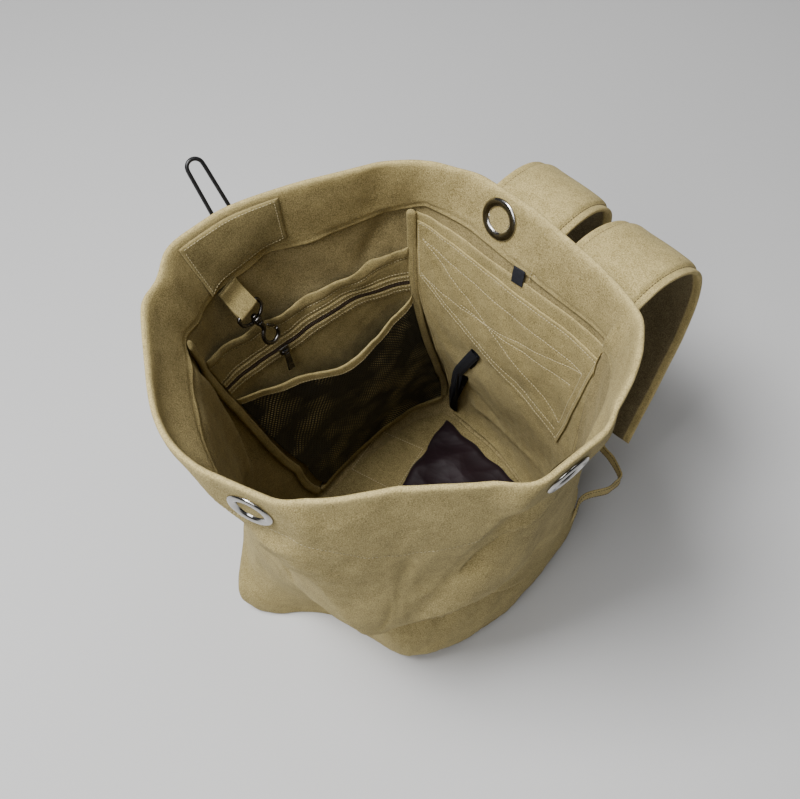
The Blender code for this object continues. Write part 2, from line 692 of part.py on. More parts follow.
def hook_body(finish):
    """The swivel pin and the open hook below it, one bar whose radius changes."""
    route = [(0, 8.0, 1.6), (0, 8.3, 2.7), (0, 9.9, 2.7), (0, 10.2, 1.4), (0, 16.4, 1.4), (0, 16.8, 3.1),
             (0, 18.4, 3.3), (0.0, 20.5, 2.6), (0.2, 23.5, 2.7), (1.4, 25.4, 2.3), (3.6, 26.9, 2.0)]
    for angle in range(45, -181, -15):
        turn = math.radians(angle)
        route.append((HOOK_RADIUS * math.cos(turn), HOOK_RING_AT - HOOK_RADIUS * math.sin(turn), 1.8))
    route.append((-HOOK_RADIUS, HOOK_RING_AT - 0.4, 1.5))
    points = [hook_point(x, d) for x, d, _ in route]
    return tube("hook_body", points, [radius for _, _, radius in route], finish, sides=8)


def hook_gate(finish):
    """The thumb lever that closes the hook; its origin is on its pivot."""
    pivot = hook_point(*HOOK_PIVOT)
    tip = (-HOOK_RADIUS + 0.1, HOOK_RING_AT - 1.3)
    route = [(HOOK_PIVOT[0] - 0.2, HOOK_PIVOT[1] - 0.9, 0.9), (HOOK_PIVOT[0], HOOK_PIVOT[1], 1.3),
             (HOOK_PIVOT[0] - 1.5, HOOK_PIVOT[1] + 2.4, 1.3), (tip[0] - 0.1, tip[1] - 1.2, 1.2), (tip[0], tip[1], 1.0)]
    points = [hook_point(x, d) for x, d, _ in route]
    made = tube("hook_gate", points, [radius for _, _, radius in route], finish, sides=8)
    made.data.transform(Matrix.Translation(-pivot * MM))
    made.location = pivot * MM
    return made


def zip_frame():
    """Centre of the zip slider on the left panel, with its axes along, down and out of the cloth."""
    level = between(ZIP_LINE, ZIP_SLIDER_PART)
    at = left_panel_place(ZIP_SLIDER_PART, level)
    step = 0.012
    away = zip_away(ZIP_SLIDER_PART, level) + ZIP_THICK + 3 * GAP
    centre = Vector(facet_point(at, level, -away) / MM)
    along = Vector(facet_point(at + step, level, -away) - facet_point(at - step, level, -away)).normalized()
    down = Vector(facet_point(at, level - step, -away) - facet_point(at, level + step, -away))
    down = (down - along * down.dot(along)).normalized()
    out = along.cross(down).normalized()
    if out.dot(Vector(outward(np.array([at]), np.array([level]))[0])) > 0:
        out = -out
    return centre, along, down, out


def bevelled_box(name, centre, axes, sizes, finish, bevel=0.6):
    """A small block with chamfered edges, placed by its centre and its own axes (millimetres)."""
    shape = bmesh.new()
    bmesh.ops.create_cube(shape, size=1.0)
    bmesh.ops.scale(shape, vec=Vector(sizes) * MM, verts=shape.verts)
    bmesh.ops.bevel(shape, geom=shape.edges[:], offset=bevel * MM, segments=1, profile=0.5, affect="EDGES",
                    material=-1)
    turn = Matrix([list(axis) for axis in axes]).transposed().to_4x4()
    shape.transform(Matrix.Translation(Vector(centre) * MM) @ turn)
    return place_object(name, mesh_from_bmesh(name, shape), finish)


def zip_slider(finish):
    centre, along, down, out = zip_frame()
    return bevelled_box("zip_slider", centre + out * 1.5, (along, down, out), (9.5, 8.5, 2.8), finish)


def zip_pull(finish):
    """The flat tab that pulls the zip; its origin is on the bridge of the slider."""
    centre, along, down, out = zip_frame()
    pivot = centre + out * ZIP_PULL_LIFT
    shift = down * (ZIP_PULL_LENGTH / 2 - ZIP_PULL_END)
    made = bevelled_box("zip_pull", pivot + shift, (along, down, out), (7.0, ZIP_PULL_LENGTH, 1.8), finish, 0.5)
    made.data.transform(Matrix.Translation(-pivot * MM))
    made.location = pivot * MM
    return made


def zip_away(part, level):
    return pocket_away(part, level) + LINING_CANVAS + 0.8


def binding_away(part, level):
    return NET_SITS + NET + 0.4 + NET_BULGE * math.sin(math.pi * part) ** 0.8


def left_pockets(canvas, net, binding, zip_cloth):
    """The pockets sewn to the left inside panel, from the cloth inwards."""
    left_panel_sheet("slip_pocket", SLIP_TOP, pocket_away, LINING_CANVAS, canvas)
    strip_on_left_panel("zip_tape", ZIP_LINE, ZIP_HALF_WIDTH, zip_away, ZIP_THICK, zip_cloth)
    left_panel_sheet("net_pocket", NET_TOP, net_away, NET, net)
    strip_on_left_panel("net_binding", NET_TOP, NET_BINDING_HALF_WIDTH, binding_away, NET_BINDING_THICK, binding)


def seam_bindings(finish):
    levels = (0.06, 0.14, 0.22, 0.33, 0.45, 0.56, 0.66, 0.76, 0.852)
    seam_binding("seam_binding_back", [(seam_back_left(level) - 0.001, level) for level in levels], 6.0, 2.6, 5.0, finish)
    seam_binding("seam_binding_front", [(seam_front_left(level), level) for level in levels], 6.0, 2.6, 5.0, finish)
    places = lattice(seam_back_left(0.05) + 0.012, seam_front_left(0.05) - 0.012, 1 / COLUMNS)
    front = [[facet_point(at, level, -2.6) for at in places] for level in (0.022, 0.042)]
    back = [[facet_point(at, level, -8.0) for at in places] for level in (0.027, 0.037)]
    slab("seam_binding_floor", front, back, finish)


def sleeve_sits(level):
    return between(SLEEVE_SITS, level)


def back_sleeve(finish):
    """The divider that stands off the back panel, free at its left edge."""
    fixed = lattice(SLEEVE_END, between(SLEEVE_FREE_EDGE, 0.045) - 0.5 / COLUMNS, 1 / COLUMNS)
    front, back = [], []
    for level in (0.045, 0.13, 0.22, 0.33, 0.45, 0.56, 0.66, 0.76, 0.852):
        edge = between(SLEEVE_FREE_EDGE, level)
        places = fixed + [min(6 / COLUMNS, edge - 0.2 / COLUMNS), edge]
        front.append([facet_point(at, level, -sleeve_sits(level)) for at in places])
        back.append([facet_point(at, level, -sleeve_sits(level) - LINING_CANVAS) for at in places])
    return slab("back_sleeve", front, back, finish)


def back_patch(finish):
    """The four-sided patch with crossed stitch lines on the divider."""
    top_left, top_right, low_right, low_left = [np.array(corner) for corner in BACK_PATCH]
    parts = [(top_left[0] - at) / (top_left[0] - top_right[0])
             for at in lattice(top_left[0], top_right[0], 1 / COLUMNS)]
    rows = 6
    front, back = [], []
    for i in range(rows + 1):
        down = i / rows
        near, far = [], []
        for part in parts:
            at, level = (top_left * (1 - part) + top_right * part) * (1 - down) \
                + (low_left * (1 - part) + low_right * part) * down
            away = sleeve_sits(level) + LINING_CANVAS + PATCH_OFF_SLEEVE
            near.append(facet_point(at, level, -away))
            far.append(facet_point(at, level, -away - LINING_CANVAS))
        front.append(near)
        back.append(far)
    return slab("back_patch", front, back, finish)


def staple_patch(finish):
    """The puffed patch inside the hem that covers the staple's foot."""
    top_left, top_right, low_right, low_left = [np.array(corner) for corner in STAPLE_PATCH]
    rows, columns = 6, 8
    front, back = [], []
    for i in range(rows + 1):
        down = i / rows
        near, far = [], []
        for j in range(columns + 1):
            part = j / columns
            at, level = (top_left * (1 - part) + top_right * part) * (1 - down) \
                + (low_left * (1 - part) + low_right * part) * down
            puff = STAPLE_PATCH_PUFF * (math.sin(math.pi * part) * math.sin(math.pi * down)) ** 0.35
            away = 2 * CANVAS + 3 * GAP + puff
            near.append(facet_point(at, level, -away))
            far.append(facet_point(at, level, -away - LINING_CANVAS))
        front.append(near)
        back.append(far)
    return slab("staple_patch", front, back, finish)


def small_flat(name, corners, sits, thick, finish):
    """A small flat piece on the cloth between four corners of (place, level)."""
    grids = []
    for away in (sits, sits + thick):
        top_left, top_right, low_right, low_left = [facet_point(at, level, -away) for at, level in corners]
        grids.append([[top_left, top_right], [low_left, low_right]])
    return slab(name, grids[0], grids[1], finish)


def floor_panel(finish):
    """The stiff canvas panel on the floor of the bag."""
    centre = np.array(FLOOR_CENTRE)
    places = np.arange(0, COLUMNS, 2) / COLUMNS
    outline = cloth_point(places, np.full(len(places), 0.0), -CANVAS)[:, :2]
    outline = centre + (outline - centre) * 0.93
    shape = bmesh.new()
    rings = [[shape.verts.new((x * MM, y * MM, z * MM)) for x, y in outline]
             for z in (CANVAS + GAP, CANVAS + GAP + LINING_CANVAS)]
    for j in range(len(outline)):
        k = (j + 1) % len(outline)
        shape.faces.new((rings[0][j], rings[0][k], rings[1][k], rings[1][j]))
    shape.faces.new(rings[0])
    shape.faces.new(rings[1])
    return place_object("floor_panel", mesh_from_bmesh("floor_panel", shape), finish)


def floor_lining(finish):
    """Crumpled lining cloth lying in the back corner of the floor."""
    low_left, low_right, high_right, high_left = [np.array(corner) for corner in LINING_CORNERS]
    rows, columns = 6, 7
    under = CANVAS + 2 * GAP + LINING_CANVAS
    front, back = [], []
    for i in range(rows + 1):
        up = i / rows
        near, far = [], []
        for j in range(columns + 1):
            part = j / columns
            x, y = (low_left * (1 - part) + low_right * part) * (1 - up) \
                + (high_left * (1 - part) + high_right * part) * up
            crown = (math.sin(math.pi * part) * math.sin(math.pi * up)) ** 0.4
            ripple = 0.5 + 0.5 * math.sin(9.0 * part + 4.0 * up) * math.cos(7.0 * up - 3.0 * part)
            near.append(Vector((x, y, under)) * MM)
            far.append(Vector((x, y, under + 1.2 + crown * (5.0 + 7.0 * ripple))) * MM)
        front.append(near)
        back.append(far)
    return slab("floor_lining", front, back, finish)


def strap_points(route, side, top_in=0.0):
    """A strap's route on one side; top_in draws its upper end in to the yoke."""
    centre = BACK_CENTRE_X + side * STRAP_OFFSET_X
    return [(centre + side * point.x_out, point.y - top_in * max(0.0, 1 - k / 3), point.z)
            for k, point in enumerate(route)]


def shoulder_strap(name, side, finish):
    """A padded strap, from the yoke under the hem out and down to its lower end."""
    points = smooth_route(strap_points(STRAP_ROUTE, side, STRAP_TOP_IN[side]), 22)
    centres, sides, ups = route_frames(points, (1, 0.0, 0.0))
    return band(name, centres, sides, ups, STRAP_WIDTH, STRAP_THICK, finish)


def lower_webbing(name, side_name, side, finish):
    """Webbing from the strap's lower end, turning on edge into an open loop and sewn flat near the back corner."""
    route = strap_points(LOWER_WEBBING_ROUTE, side)
    out = LOWER_WEBBING_THICK / 2 + 4 * GAP
    sewn = LOWER_WEBBING_SEWN[side_name]
    wall_up = Vector(facet_point(sewn[1], LOWER_WEBBING_LEVEL + 0.03, 0)
                     - facet_point(sewn[1], LOWER_WEBBING_LEVEL - 0.03, 0)).normalized()
    route += [tuple(facet_point(at, LOWER_WEBBING_LEVEL, out) / MM) for at in sewn]
    points = smooth_route(route, 18)
    centres, _, _ = route_frames(points, (1, 0, 0))
    sides, ups = [], []
    tangents = np.gradient(points, axis=0)
    for k, tangent in enumerate(tangents):
        ahead = Vector(tangent).normalized()
        turn = min(k / len(points) * 2.2, 1.0)
        across = Vector((1, 0, 0)).lerp(wall_up * side, turn * turn * (3 - 2 * turn))
        across = (across - ahead * across.dot(ahead)).normalized()
        sides.append(across)
        ups.append(across.cross(ahead).normalized())
    return band(name, centres, sides, ups, LOWER_WEBBING_WIDTH, LOWER_WEBBING_THICK, finish, corner=0.2)


def strap_yoke(finish):
    places = lattice(YOKE_ENDS[0], YOKE_ENDS[1], 1 / COLUMNS)
    front = [[facet_point(at, level, GAP) for at in places] for level in YOKE_LEVELS]
    back = [[facet_point(at, level, GAP + YOKE_THICK) for at in places] for level in YOKE_LEVELS]
    return slab("strap_yoke", front, back, finish)


def sleeve_strap(finish):
    """The black elastic strap that runs from under the patch to the divider's free edge."""
    route = [facet_point(at, level, -away) / MM for at, level, away in SLEEVE_STRAP_ROUTE]
    points = smooth_route(route, 10)
    centres, sides, ups = [], [], []
    tangents = np.gradient(points, axis=0)
    for point, tangent in zip(points, tangents):
        ahead = Vector(tangent).normalized()
        facing = Vector((0, -1, 0))
        facing = (facing - ahead * facing.dot(ahead)).normalized()
        centres.append(Vector(point) * MM)
        sides.append(ahead.cross(facing).normalized())
        ups.append(facing)
    return band("sleeve_strap", centres, sides, ups, SLEEVE_STRAP_WIDTH, SLEEVE_STRAP_THICK, finish, corner=0.2)


def build_bag():
    canvas = material("olive_canvas", (0.27, 0.22, 0.12), 0.9)
    trim = material("olive_binding", (0.24, 0.19, 0.10), 0.85)
    strap_cloth = material("strap_canvas", (0.30, 0.24, 0.13), 0.9)
    black_cloth = material("black_webbing", (0.012, 0.013, 0.018), 0.8)
    net = material("black_net", (0.01, 0.01, 0.012), 0.7)
    zip_cloth = material("brown_zip", (0.05, 0.03, 0.02), 0.6)
    wine = material("wine_lining", (0.045, 0.02, 0.027), 0.45)
    nickel = material("nickel", (0.62, 0.61, 0.58), 0.25, metallic=1.0)
    gunmetal = material("gunmetal", (0.09, 0.08, 0.075), 0.35, metallic=1.0)
    black_wire = material("black_wire", (0.015, 0.015, 0.017), 0.4, metallic=0.6)

    hem_levels = [level for level in LEVELS if level >= HEM_LEVEL]
    body = canvas_body(canvas)
    hem = ring_slab("mouth_hem", hem_levels, -CANVAS - GAP, -2 * CANVAS - GAP, canvas)
    outer_face_holes((body, hem))
    for name in EYELET_PLACES:
        eyelet(name, GAP + 0.2, -2 * CANVAS - 2 * GAP - 0.2, nickel)
    route = staple_route()
    tube("staple", route, [STAPLE_WIRE / 2] * len(route), black_wire, closed=True, sides=6)
    staple_patch(canvas)
    hook_tab(trim)
    hook_loop(gunmetal)
    hook_body(gunmetal)
    hook_gate(gunmetal)
    left_pockets(canvas, net, trim, zip_cloth)
    zip_slider(gunmetal)
    zip_pull(gunmetal)
    seam_bindings(trim)
    back_sleeve(canvas)
    back_patch(canvas)
    small_flat("hem_tab", HEM_TAB, 2 * CANVAS + 2 * GAP + 0.6, 1.2, black_cloth)
    floor_panel(canvas)
    floor_lining(wine)
    sleeve_strap(black_cloth)
    strap_yoke(strap_cloth)
    for name, side in (("left", -1), ("right", 1)):
        shoulder_strap("shoulder_strap_" + name, side, strap_cloth)
        lower_webbing("lower_webbing_" + name, name, side, strap_cloth)


def main():
    for old in list(bpy.data.objects):
        bpy.data.objects.remove(old, do_unlink=True)
    build_bag()


main()
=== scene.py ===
import math
from collections import namedtuple

import bmesh
import bpy
import numpy as np
from mathutils import Matrix, Vector


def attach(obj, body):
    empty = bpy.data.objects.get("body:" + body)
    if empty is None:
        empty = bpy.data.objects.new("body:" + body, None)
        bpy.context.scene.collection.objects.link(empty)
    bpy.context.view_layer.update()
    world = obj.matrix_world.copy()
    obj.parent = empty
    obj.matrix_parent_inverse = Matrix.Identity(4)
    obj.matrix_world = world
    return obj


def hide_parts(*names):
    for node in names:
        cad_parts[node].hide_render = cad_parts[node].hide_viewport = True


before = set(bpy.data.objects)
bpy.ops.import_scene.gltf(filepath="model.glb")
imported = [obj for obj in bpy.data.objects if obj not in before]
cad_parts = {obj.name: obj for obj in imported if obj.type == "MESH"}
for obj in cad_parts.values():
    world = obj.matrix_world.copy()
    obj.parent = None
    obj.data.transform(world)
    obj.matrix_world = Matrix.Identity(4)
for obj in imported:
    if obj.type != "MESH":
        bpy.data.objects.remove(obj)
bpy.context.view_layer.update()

MM = 0.001
GAP = 0.3
CANVAS = 2.0
AROUND = 950.0
TALL = 440.0
TURN = 2 * math.pi

STATIONS = ("back", "back_left", "left", "front_left", "front", "front_right", "right", "back_right")
STATION_SOFTNESS = (1.05, 0.62, 1.0, 0.75, 1.0, 0.85, 1.0, 0.75)
RIM_HEIGHTS = (428, 428, 438, 438, 436, 455, 474, 462)

Section = namedtuple("Section", ("level",) + STATIONS)
SECTIONS = (
    Section(0.00, (-2, 122), (-103, 117), (-126, -12), (-77, -193), (-10, -147), (77, -117), (116, -20), (96, 90)),
    Section(0.05, (-2, 129), (-108, 124), (-130, -12), (-84, -199), (-8, -149), (83, -123), (119, -22), (102, 95)),
    Section(0.22, (-4, 120), (-106, 108), (-133, -16), (-105, -165), (-2, -174), (86, -127), (116, -32), (106, 85)),
    Section(0.45, (-10, 90), (-104, 82), (-138, -26), (-120, -140), (6, -200), (92, -136), (127, -44), (110, 65)),
    Section(0.68, (-18, 74), (-108, 68), (-151, -41), (-132, -138), (9, -205), (93, -140), (139, -54), (108, 56)),
    Section(0.85, (-30, 81), (-116, 71), (-162, -55), (-139, -144), (10, -206), (93, -142), (147, -58), (108, 58)),
    Section(1.00, (-37, 103), (-119, 68), (-173, -71), (-147, -165), (13, -201), (92, -141), (157, -58), (117, 58)),
)

# Dents and ridges of the cloth: a straight path on it, how far it stands out and its half width (millimetres)
Fold = namedtuple("Fold", "name start_at start_level end_at end_level stands_out width")
FOLDS = (
    Fold("mouth bulge at the front left", 0.452, 1.08, 0.454, 0.98, 24, 38),
    Fold("dent in the left of the mouth", 0.345, 1.00, 0.350, 0.86, -7, 22),
    Fold("hollow left of the front edge", 0.492, 0.62, 0.535, 0.16, -17, 40),
    Fold("crease from the right eyelet", 0.725, 0.84, 0.610, 0.42, -7, 20),
    Fold("overhang of the front", 0.595, 0.47, 0.720, 0.56, 8, 46),
    Fold("hollow below the overhang", 0.600, 0.26, 0.745, 0.32, -11, 34),
    Fold("slack of the left side", 0.250, 0.50, 0.250, 0.20, -5, 60),
    Fold("hollow of the back above the base", 0.990, 0.42, 0.990, 0.30, -4, 60),
)
FINE_FOLDS = (
    Fold("thin crease left of the ridge", 0.470, 0.78, 0.500, 0.50, -1.6, 5),
    Fold("pull from the front eyelet", 0.520, 0.90, 0.560, 0.72, 1.4, 8),
    Fold("pull from the right eyelet", 0.735, 0.90, 0.690, 0.66, -1.5, 9),
    Fold("second pleat under the tuck", 0.670, 0.12, 0.640, 0.09, 2.0, 5),
    Fold("crease at the front right", 0.630, 0.74, 0.600, 0.46, -1.8, 7),
    Fold("soft dent inside the left hem", 0.325, 0.97, 0.318, 0.88, -3.0, 14),
    Fold("soft swell beside the dent", 0.300, 0.99, 0.296, 0.90, 1.5, 16),
    Fold("hem dent towards the back corner", 0.150, 0.98, 0.160, 0.90, 2.0, 12),
    Fold("swell of the left panel", 0.205, 0.84, 0.186, 0.72, -3.6, 12),
    Fold("hollow of the left panel", 0.238, 0.86, 0.228, 0.74, 3.6, 11),
    Fold("fold of the left panel by the seam", 0.150, 0.85, 0.172, 0.76, 3.4, 8),
    Fold("fold of the front left wall", 0.405, 0.86, 0.372, 0.42, -6.0, 12),
    Fold("hollow beside the front left seam", 0.392, 0.84, 0.352, 0.40, 5.0, 9),
    Fold("second fold of the front left wall", 0.430, 0.86, 0.415, 0.50, -3.5, 10),
    Fold("dent of the back left side", 0.180, 0.40, 0.200, 0.18, -2.5, 24),
    Fold("slack over the back", 0.93, 0.60, 1.05, 0.50, 2.0, 22),
    Fold("crease low on the back", 0.95, 0.22, 1.04, 0.17, -2.2, 12),
    Fold("sag of the right side", 0.80, 0.66, 0.815, 0.24, 2.4, 18),
    Fold("crease of the right side", 0.775, 0.60, 0.79, 0.30, -2.0, 9),
)

# Sharp creases: a path on the cloth, how far each side of it stands out and how fast that fades (millimetres)
CREASE_END_FADE = 0.16
CREASE_TURN = 3.2
Crease = namedtuple("Crease", "name path left_out left_fades right_out right_fades")
CREASES = (
    Crease("front edge from its eyelet to the overhang",
           ((0.497, 0.92), (0.514, 0.850), (0.532, 0.798), (0.5505, 0.68), (0.566, 0.54), (0.581, 0.415),
            (0.590, 0.35)), 5.0, 60, 5.0, 11),
    Crease("overhang of the front",
           ((0.566, 0.47), (0.581, 0.402), (0.600, 0.395), (0.622, 0.420), (0.651, 0.472), (0.686, 0.508),
            (0.724, 0.485), (0.752, 0.43), (0.775, 0.35)),
           5.0, 45, -19.0, 38),
    Crease("layer under the overhang",
           ((0.600, 0.235), (0.640, 0.245), (0.669, 0.255), (0.692, 0.285), (0.744, 0.225), (0.785, 0.14)),
           2.0, 12, -6.0, 14),
    Crease("crease from the right eyelet",
           ((0.717, 0.97), (0.697, 0.860), (0.669, 0.685), (0.651, 0.59), (0.620, 0.58)), 2.6, 34, 2.6, 7),
    Crease("hollow below the right eyelet",
           ((0.675, 0.63), (0.6915, 0.704), (0.716, 0.750), (0.745, 0.770), (0.77, 0.85)), 2.5, 9, -6.0, 26),
    Crease("crease at the front left foot", ((0.480, 0.70), (0.448, 0.42), (0.422, 0.13)), 2.4, 8, 2.4, 20),
    Crease("fold of the right wall over the divider's end",
           ((0.893, 0.995), (0.888, 0.88), (0.884, 0.76), (0.880, 0.55), (0.882, 0.33)), 0.0, 10, -7.0, 45),
    Crease("crease of the left side", ((0.330, 0.62), (0.300, 0.40), (0.318, 0.20)), 1.6, 22, 1.6, 8),
    Crease("crease of the right side wall", ((0.80, 0.72), (0.822, 0.48), (0.812, 0.26)), 1.8, 24, 1.8, 9),
    Crease("low crease of the back", ((0.06, 0.30), (0.00, 0.21), (-0.07, 0.24)), 1.6, 14, 1.6, 8),
)


def bump_of(distance, width):
    """One at zero distance, falling smoothly to nothing over the width."""
    return np.exp(-(distance / width) ** 2)


def smoothstep(part):
    """A share from 0 to 1, eased in and out."""
    part = np.clip(part, 0, 1)
    return part * part * (3 - 2 * part)


def shoulder(part, least=0.0):
    """A quarter round: nothing at part 0, rising steeply and then levelling out at part 1."""
    return np.sqrt(np.clip(1 - (1 - np.clip(part, 0, 1)) ** 2, least, 1))


def squared_off(wave, power):
    """A sine or cosine pushed towards -1 and 1, which makes a round section flat."""
    return np.sign(wave) * np.abs(wave) ** power


def unit(vectors):
    return vectors / np.maximum(np.linalg.norm(vectors, axis=-1, keepdims=True), 1e-9)


def lengths_along(points):
    """How far along a route each of its points is."""
    return np.concatenate([[0], np.cumsum(np.linalg.norm(np.diff(points, axis=0), axis=1))])


def columns_of(rows):
    return [np.array(column, float) for column in zip(*rows)]


def straight_between(table, value):
    """Straight lines between the rows of a table of (place, value)."""
    places, values = zip(*table)
    return np.interp(value, places, values)


def round_from(place, at):
    """Millimetres round the bag from a place, the short way."""
    return (np.mod(at - place + 0.5, 1.0) - 0.5) * AROUND


def nearest_on(x, y, run, rise):
    """The nearest share of a straight run that starts at the origin, and how far each point is from it."""
    part = np.clip((x * run + y * rise) / (run ** 2 + rise ** 2), 0, 1)
    return part, np.hypot(x - part * run, y - part * rise)


def hermite(first, last, first_slope, last_slope, part):
    square, cube = part ** 2, part ** 3
    return ((2 * cube - 3 * square + 1) * first + (cube - 2 * square + part) * first_slope
            + (3 * square - 2 * cube) * last + (cube - square) * last_slope)


def smooth_rows(levels, rows, level):
    """Rows of a table, blended smoothly at the given heights."""
    levels, rows = np.asarray(levels, float), np.asarray(rows, float)
    slopes = np.gradient(rows, levels, axis=0)
    below = np.clip(np.searchsorted(levels, level, side="right") - 1, 0, len(levels) - 2)
    shape = np.shape(level) + (1,) * (rows.ndim - 1)
    span = (levels[below + 1] - levels[below]).reshape(shape)
    part = (level - levels[below]).reshape(shape) / span
    return hermite(rows[below], rows[below + 1], slopes[below] * span, slopes[below + 1] * span, part)


def round_ring(values, at):
    """A smooth closed curve through eight stations; values is (places, 8, size)."""
    count = len(STATIONS)
    softness = np.asarray(STATION_SOFTNESS)[:, None]
    slopes = (np.roll(values, -1, axis=1) - np.roll(values, 1, axis=1)) * 0.5 * softness
    place = np.mod(at, 1.0) * count
    first = np.floor(place).astype(int) % count
    last = (first + 1) % count
    part = (place - np.floor(place))[:, None]
    row = np.arange(len(at))
    return hermite(values[row, first], values[row, last], slopes[row, first], slopes[row, last], part)


def plan_point(at, level):
    levels = [section.level for section in SECTIONS]
    stations = smooth_rows(levels, [section[1:] for section in SECTIONS], level)
    rims = np.broadcast_to(np.asarray(RIM_HEIGHTS, float)[:, None], (len(at), len(STATIONS), 1))
    height = round_ring(rims, at) * level[:, None]
    return np.hstack([round_ring(stations, at), height])


def outward(at, level):
    step = 0.002
    along = plan_point(at + step, level) - plan_point(at - step, level)
    return unit(np.stack([along[:, 1], -along[:, 0], np.zeros(len(at))], axis=1))


def folds_stand_out(folds, at, level):
    total = np.zeros(len(at))
    for fold in folds:
        run, rise = (fold.end_at - fold.start_at) * AROUND, (fold.end_level - fold.start_level) * TALL
        _, distance = nearest_on(round_from(fold.start_at, at), (level - fold.start_level) * TALL, run, rise)
        total += fold.stands_out * bump_of(distance, fold.width)
    return total


def creases_stand_out(at, level):
    total = np.zeros(len(at))
    for crease in CREASES:
        path = np.array(crease.path)
        reach = lengths_along(path * (AROUND, TALL))
        nearest, signed, along = np.full(len(at), np.inf), np.zeros(len(at)), np.zeros(len(at))
        for low, high, start, end in zip(path, path[1:], reach, reach[1:]):
            x, y = round_from(low[0], at), (level - low[1]) * TALL
            run, rise = (high - low) * (AROUND, TALL)
            part, distance = nearest_on(x, y, run, rise)
            nearer = distance < nearest
            nearest = np.where(nearer, distance, nearest)
            signed = np.where(nearer, np.where(run * y - rise * x > 0, distance, -distance), signed)
            along = np.where(nearer, start + part * (end - start), along)
        share = along / reach[-1]
        faded = smoothstep(np.minimum(share, 1 - share) / CREASE_END_FADE)
        far = np.hypot(nearest, 1.0) - 1.0
        left = crease.left_out * np.exp(-far / crease.left_fades)
        right = crease.right_out * np.exp(-far / crease.right_fades)
        over = smoothstep(signed / CREASE_TURN + 0.5)
        total += (left * over + right * (1 - over)) * faded
    return total


def soft_noise(at, level, waves, rise, seed, count=7):
    """Gentle unevenness that joins up round the bag: a sum of slanting waves between about -1 and 1."""
    random = np.random.default_rng(seed)
    total = np.zeros(len(at))
    for _ in range(count):
        turns = round(waves * random.uniform(0.55, 1.45)) * random.choice((-1, 1))
        up = rise * random.uniform(-1, 1)
        total += np.sin(TURN * (turns * at + up * level + random.random()))
    return total / math.sqrt(count)


def crumple(at, level):
    """Small unevenness of the whole canvas, quieter near the stiff hem."""
    quiet = 1 - 0.65 * np.clip((level - 0.80) / 0.08, 0, 1)
    broad = soft_noise(at, level, 9, 3.0, 11) * 0.95
    middle = soft_noise(at, level, 24, 9.0, 12) * 0.42
    small = soft_noise(at, level, 60, 24.0, 13) * 0.13
    return (broad + middle + small) * quiet


def soft_point(at, level, out, fine=True):
    """A point of the cloth, out millimetres outside its outer face, before the eyelets flatten it."""
    stands = folds_stand_out(FOLDS, at, level)
    if fine:
        stands += folds_stand_out(FINE_FOLDS, at, level) + creases_stand_out(at, level) + crumple(at, level)
    return plan_point(at, level) + outward(at, level) * (stands + out)[:, None]


EYELET_RADII = (10.6, 11.4, 17.4)
EYELET_RING = 19.0
EYELET_FLAT = 31.0
EYELET_BLEND = 52.0
EYELET_PLACES = {"eyelet_back": (0.0, 0.948), "eyelet_front": (0.504, 0.935), "eyelet_right": (0.751, 0.935)}


def eyelet_frame(at, height):
    """Centre on the cloth, outward axis and the axes across it, for an eyelet at a place round the mouth."""
    step_at, step_level = 0.018, 0.045
    place = np.array([at, at + step_at, at - step_at, at, at])
    level = np.array([0, 0, 0, step_level, -step_level]) + height
    centre, left, right, up, down = soft_point(place, level, np.zeros(5), fine=False)
    along = unit(left - right)
    out = unit(np.cross(along, up - down))
    if np.dot(out, outward(place[:1], level[:1])[0]) < 0:
        out = -out
    middle = (centre + left + right + up + down) / 5
    return middle, out, along, np.cross(out, along)


EYELET_FRAMES = {name: eyelet_frame(*place) for name, place in EYELET_PLACES.items()}


def cloth_point(at, level, out):
    """A point of the cloth, pulled flat round each eyelet."""
    at, level, out = [np.atleast_1d(np.asarray(value, float)).ravel()
                      for value in np.broadcast_arrays(at, level, out)]
    point = soft_point(at, level, out)
    for centre, axis, along, up in EYELET_FRAMES.values():
        offset = point - centre
        height = offset @ axis
        spread = np.hypot(offset @ along, offset @ up)
        near = (spread < EYELET_BLEND) & (np.abs(height) < EYELET_BLEND * 0.5)
        weight = np.where(near, smoothstep((EYELET_BLEND - spread) / (EYELET_BLEND - EYELET_FLAT)), 0)
        point = point + ((out - height) * weight)[:, None] * axis
    return point


# ---- meshes


def linked(name, data):
    made = bpy.data.objects.new(name, data)
    bpy.context.scene.collection.objects.link(made)
    return made


def thicken(shape, height):
    """A second face over a flat shape, with walls round its edge."""
    made = bmesh.ops.extrude_face_region(shape, geom=shape.faces[:], use_keep_orig=True)
    top = [part for part in made["geom"] if isinstance(part, bmesh.types.BMVert)]
    bmesh.ops.translate(shape, vec=(0.0, 0.0, height), verts=top)


def unit_sheet(columns, rows, thick=True):
    """A flat grid from 0 to 1 both ways, with a second face at height 1 where it is thick."""
    shape = bmesh.new()
    bmesh.ops.create_grid(shape, x_segments=columns, y_segments=rows, size=0.5)
    bmesh.ops.translate(shape, vec=(0.5, 0.5, 0.0), verts=shape.verts[:])
    if thick:
        thicken(shape, 1.0)
    return shape


def rounded_cube(sizes, bevel, segments):
    shape = bmesh.new()
    bmesh.ops.create_cube(shape, size=1.0)
    bmesh.ops.scale(shape, vec=sizes, verts=shape.verts[:])
    bmesh.ops.bevel(shape, geom=shape.edges[:], offset=bevel, segments=segments, profile=0.5, affect="EDGES",
                    material=-1)
    return shape


def set_in_place(shape, centre, axes):
    """Turns a shape that is in millimetres onto three axes and moves it to its centre."""
    turn = Matrix([list(axis) for axis in axes]).transposed().to_4x4()
    shape.transform(Matrix.Scale(MM, 4) @ Matrix.Translation(Vector(centre)) @ turn)


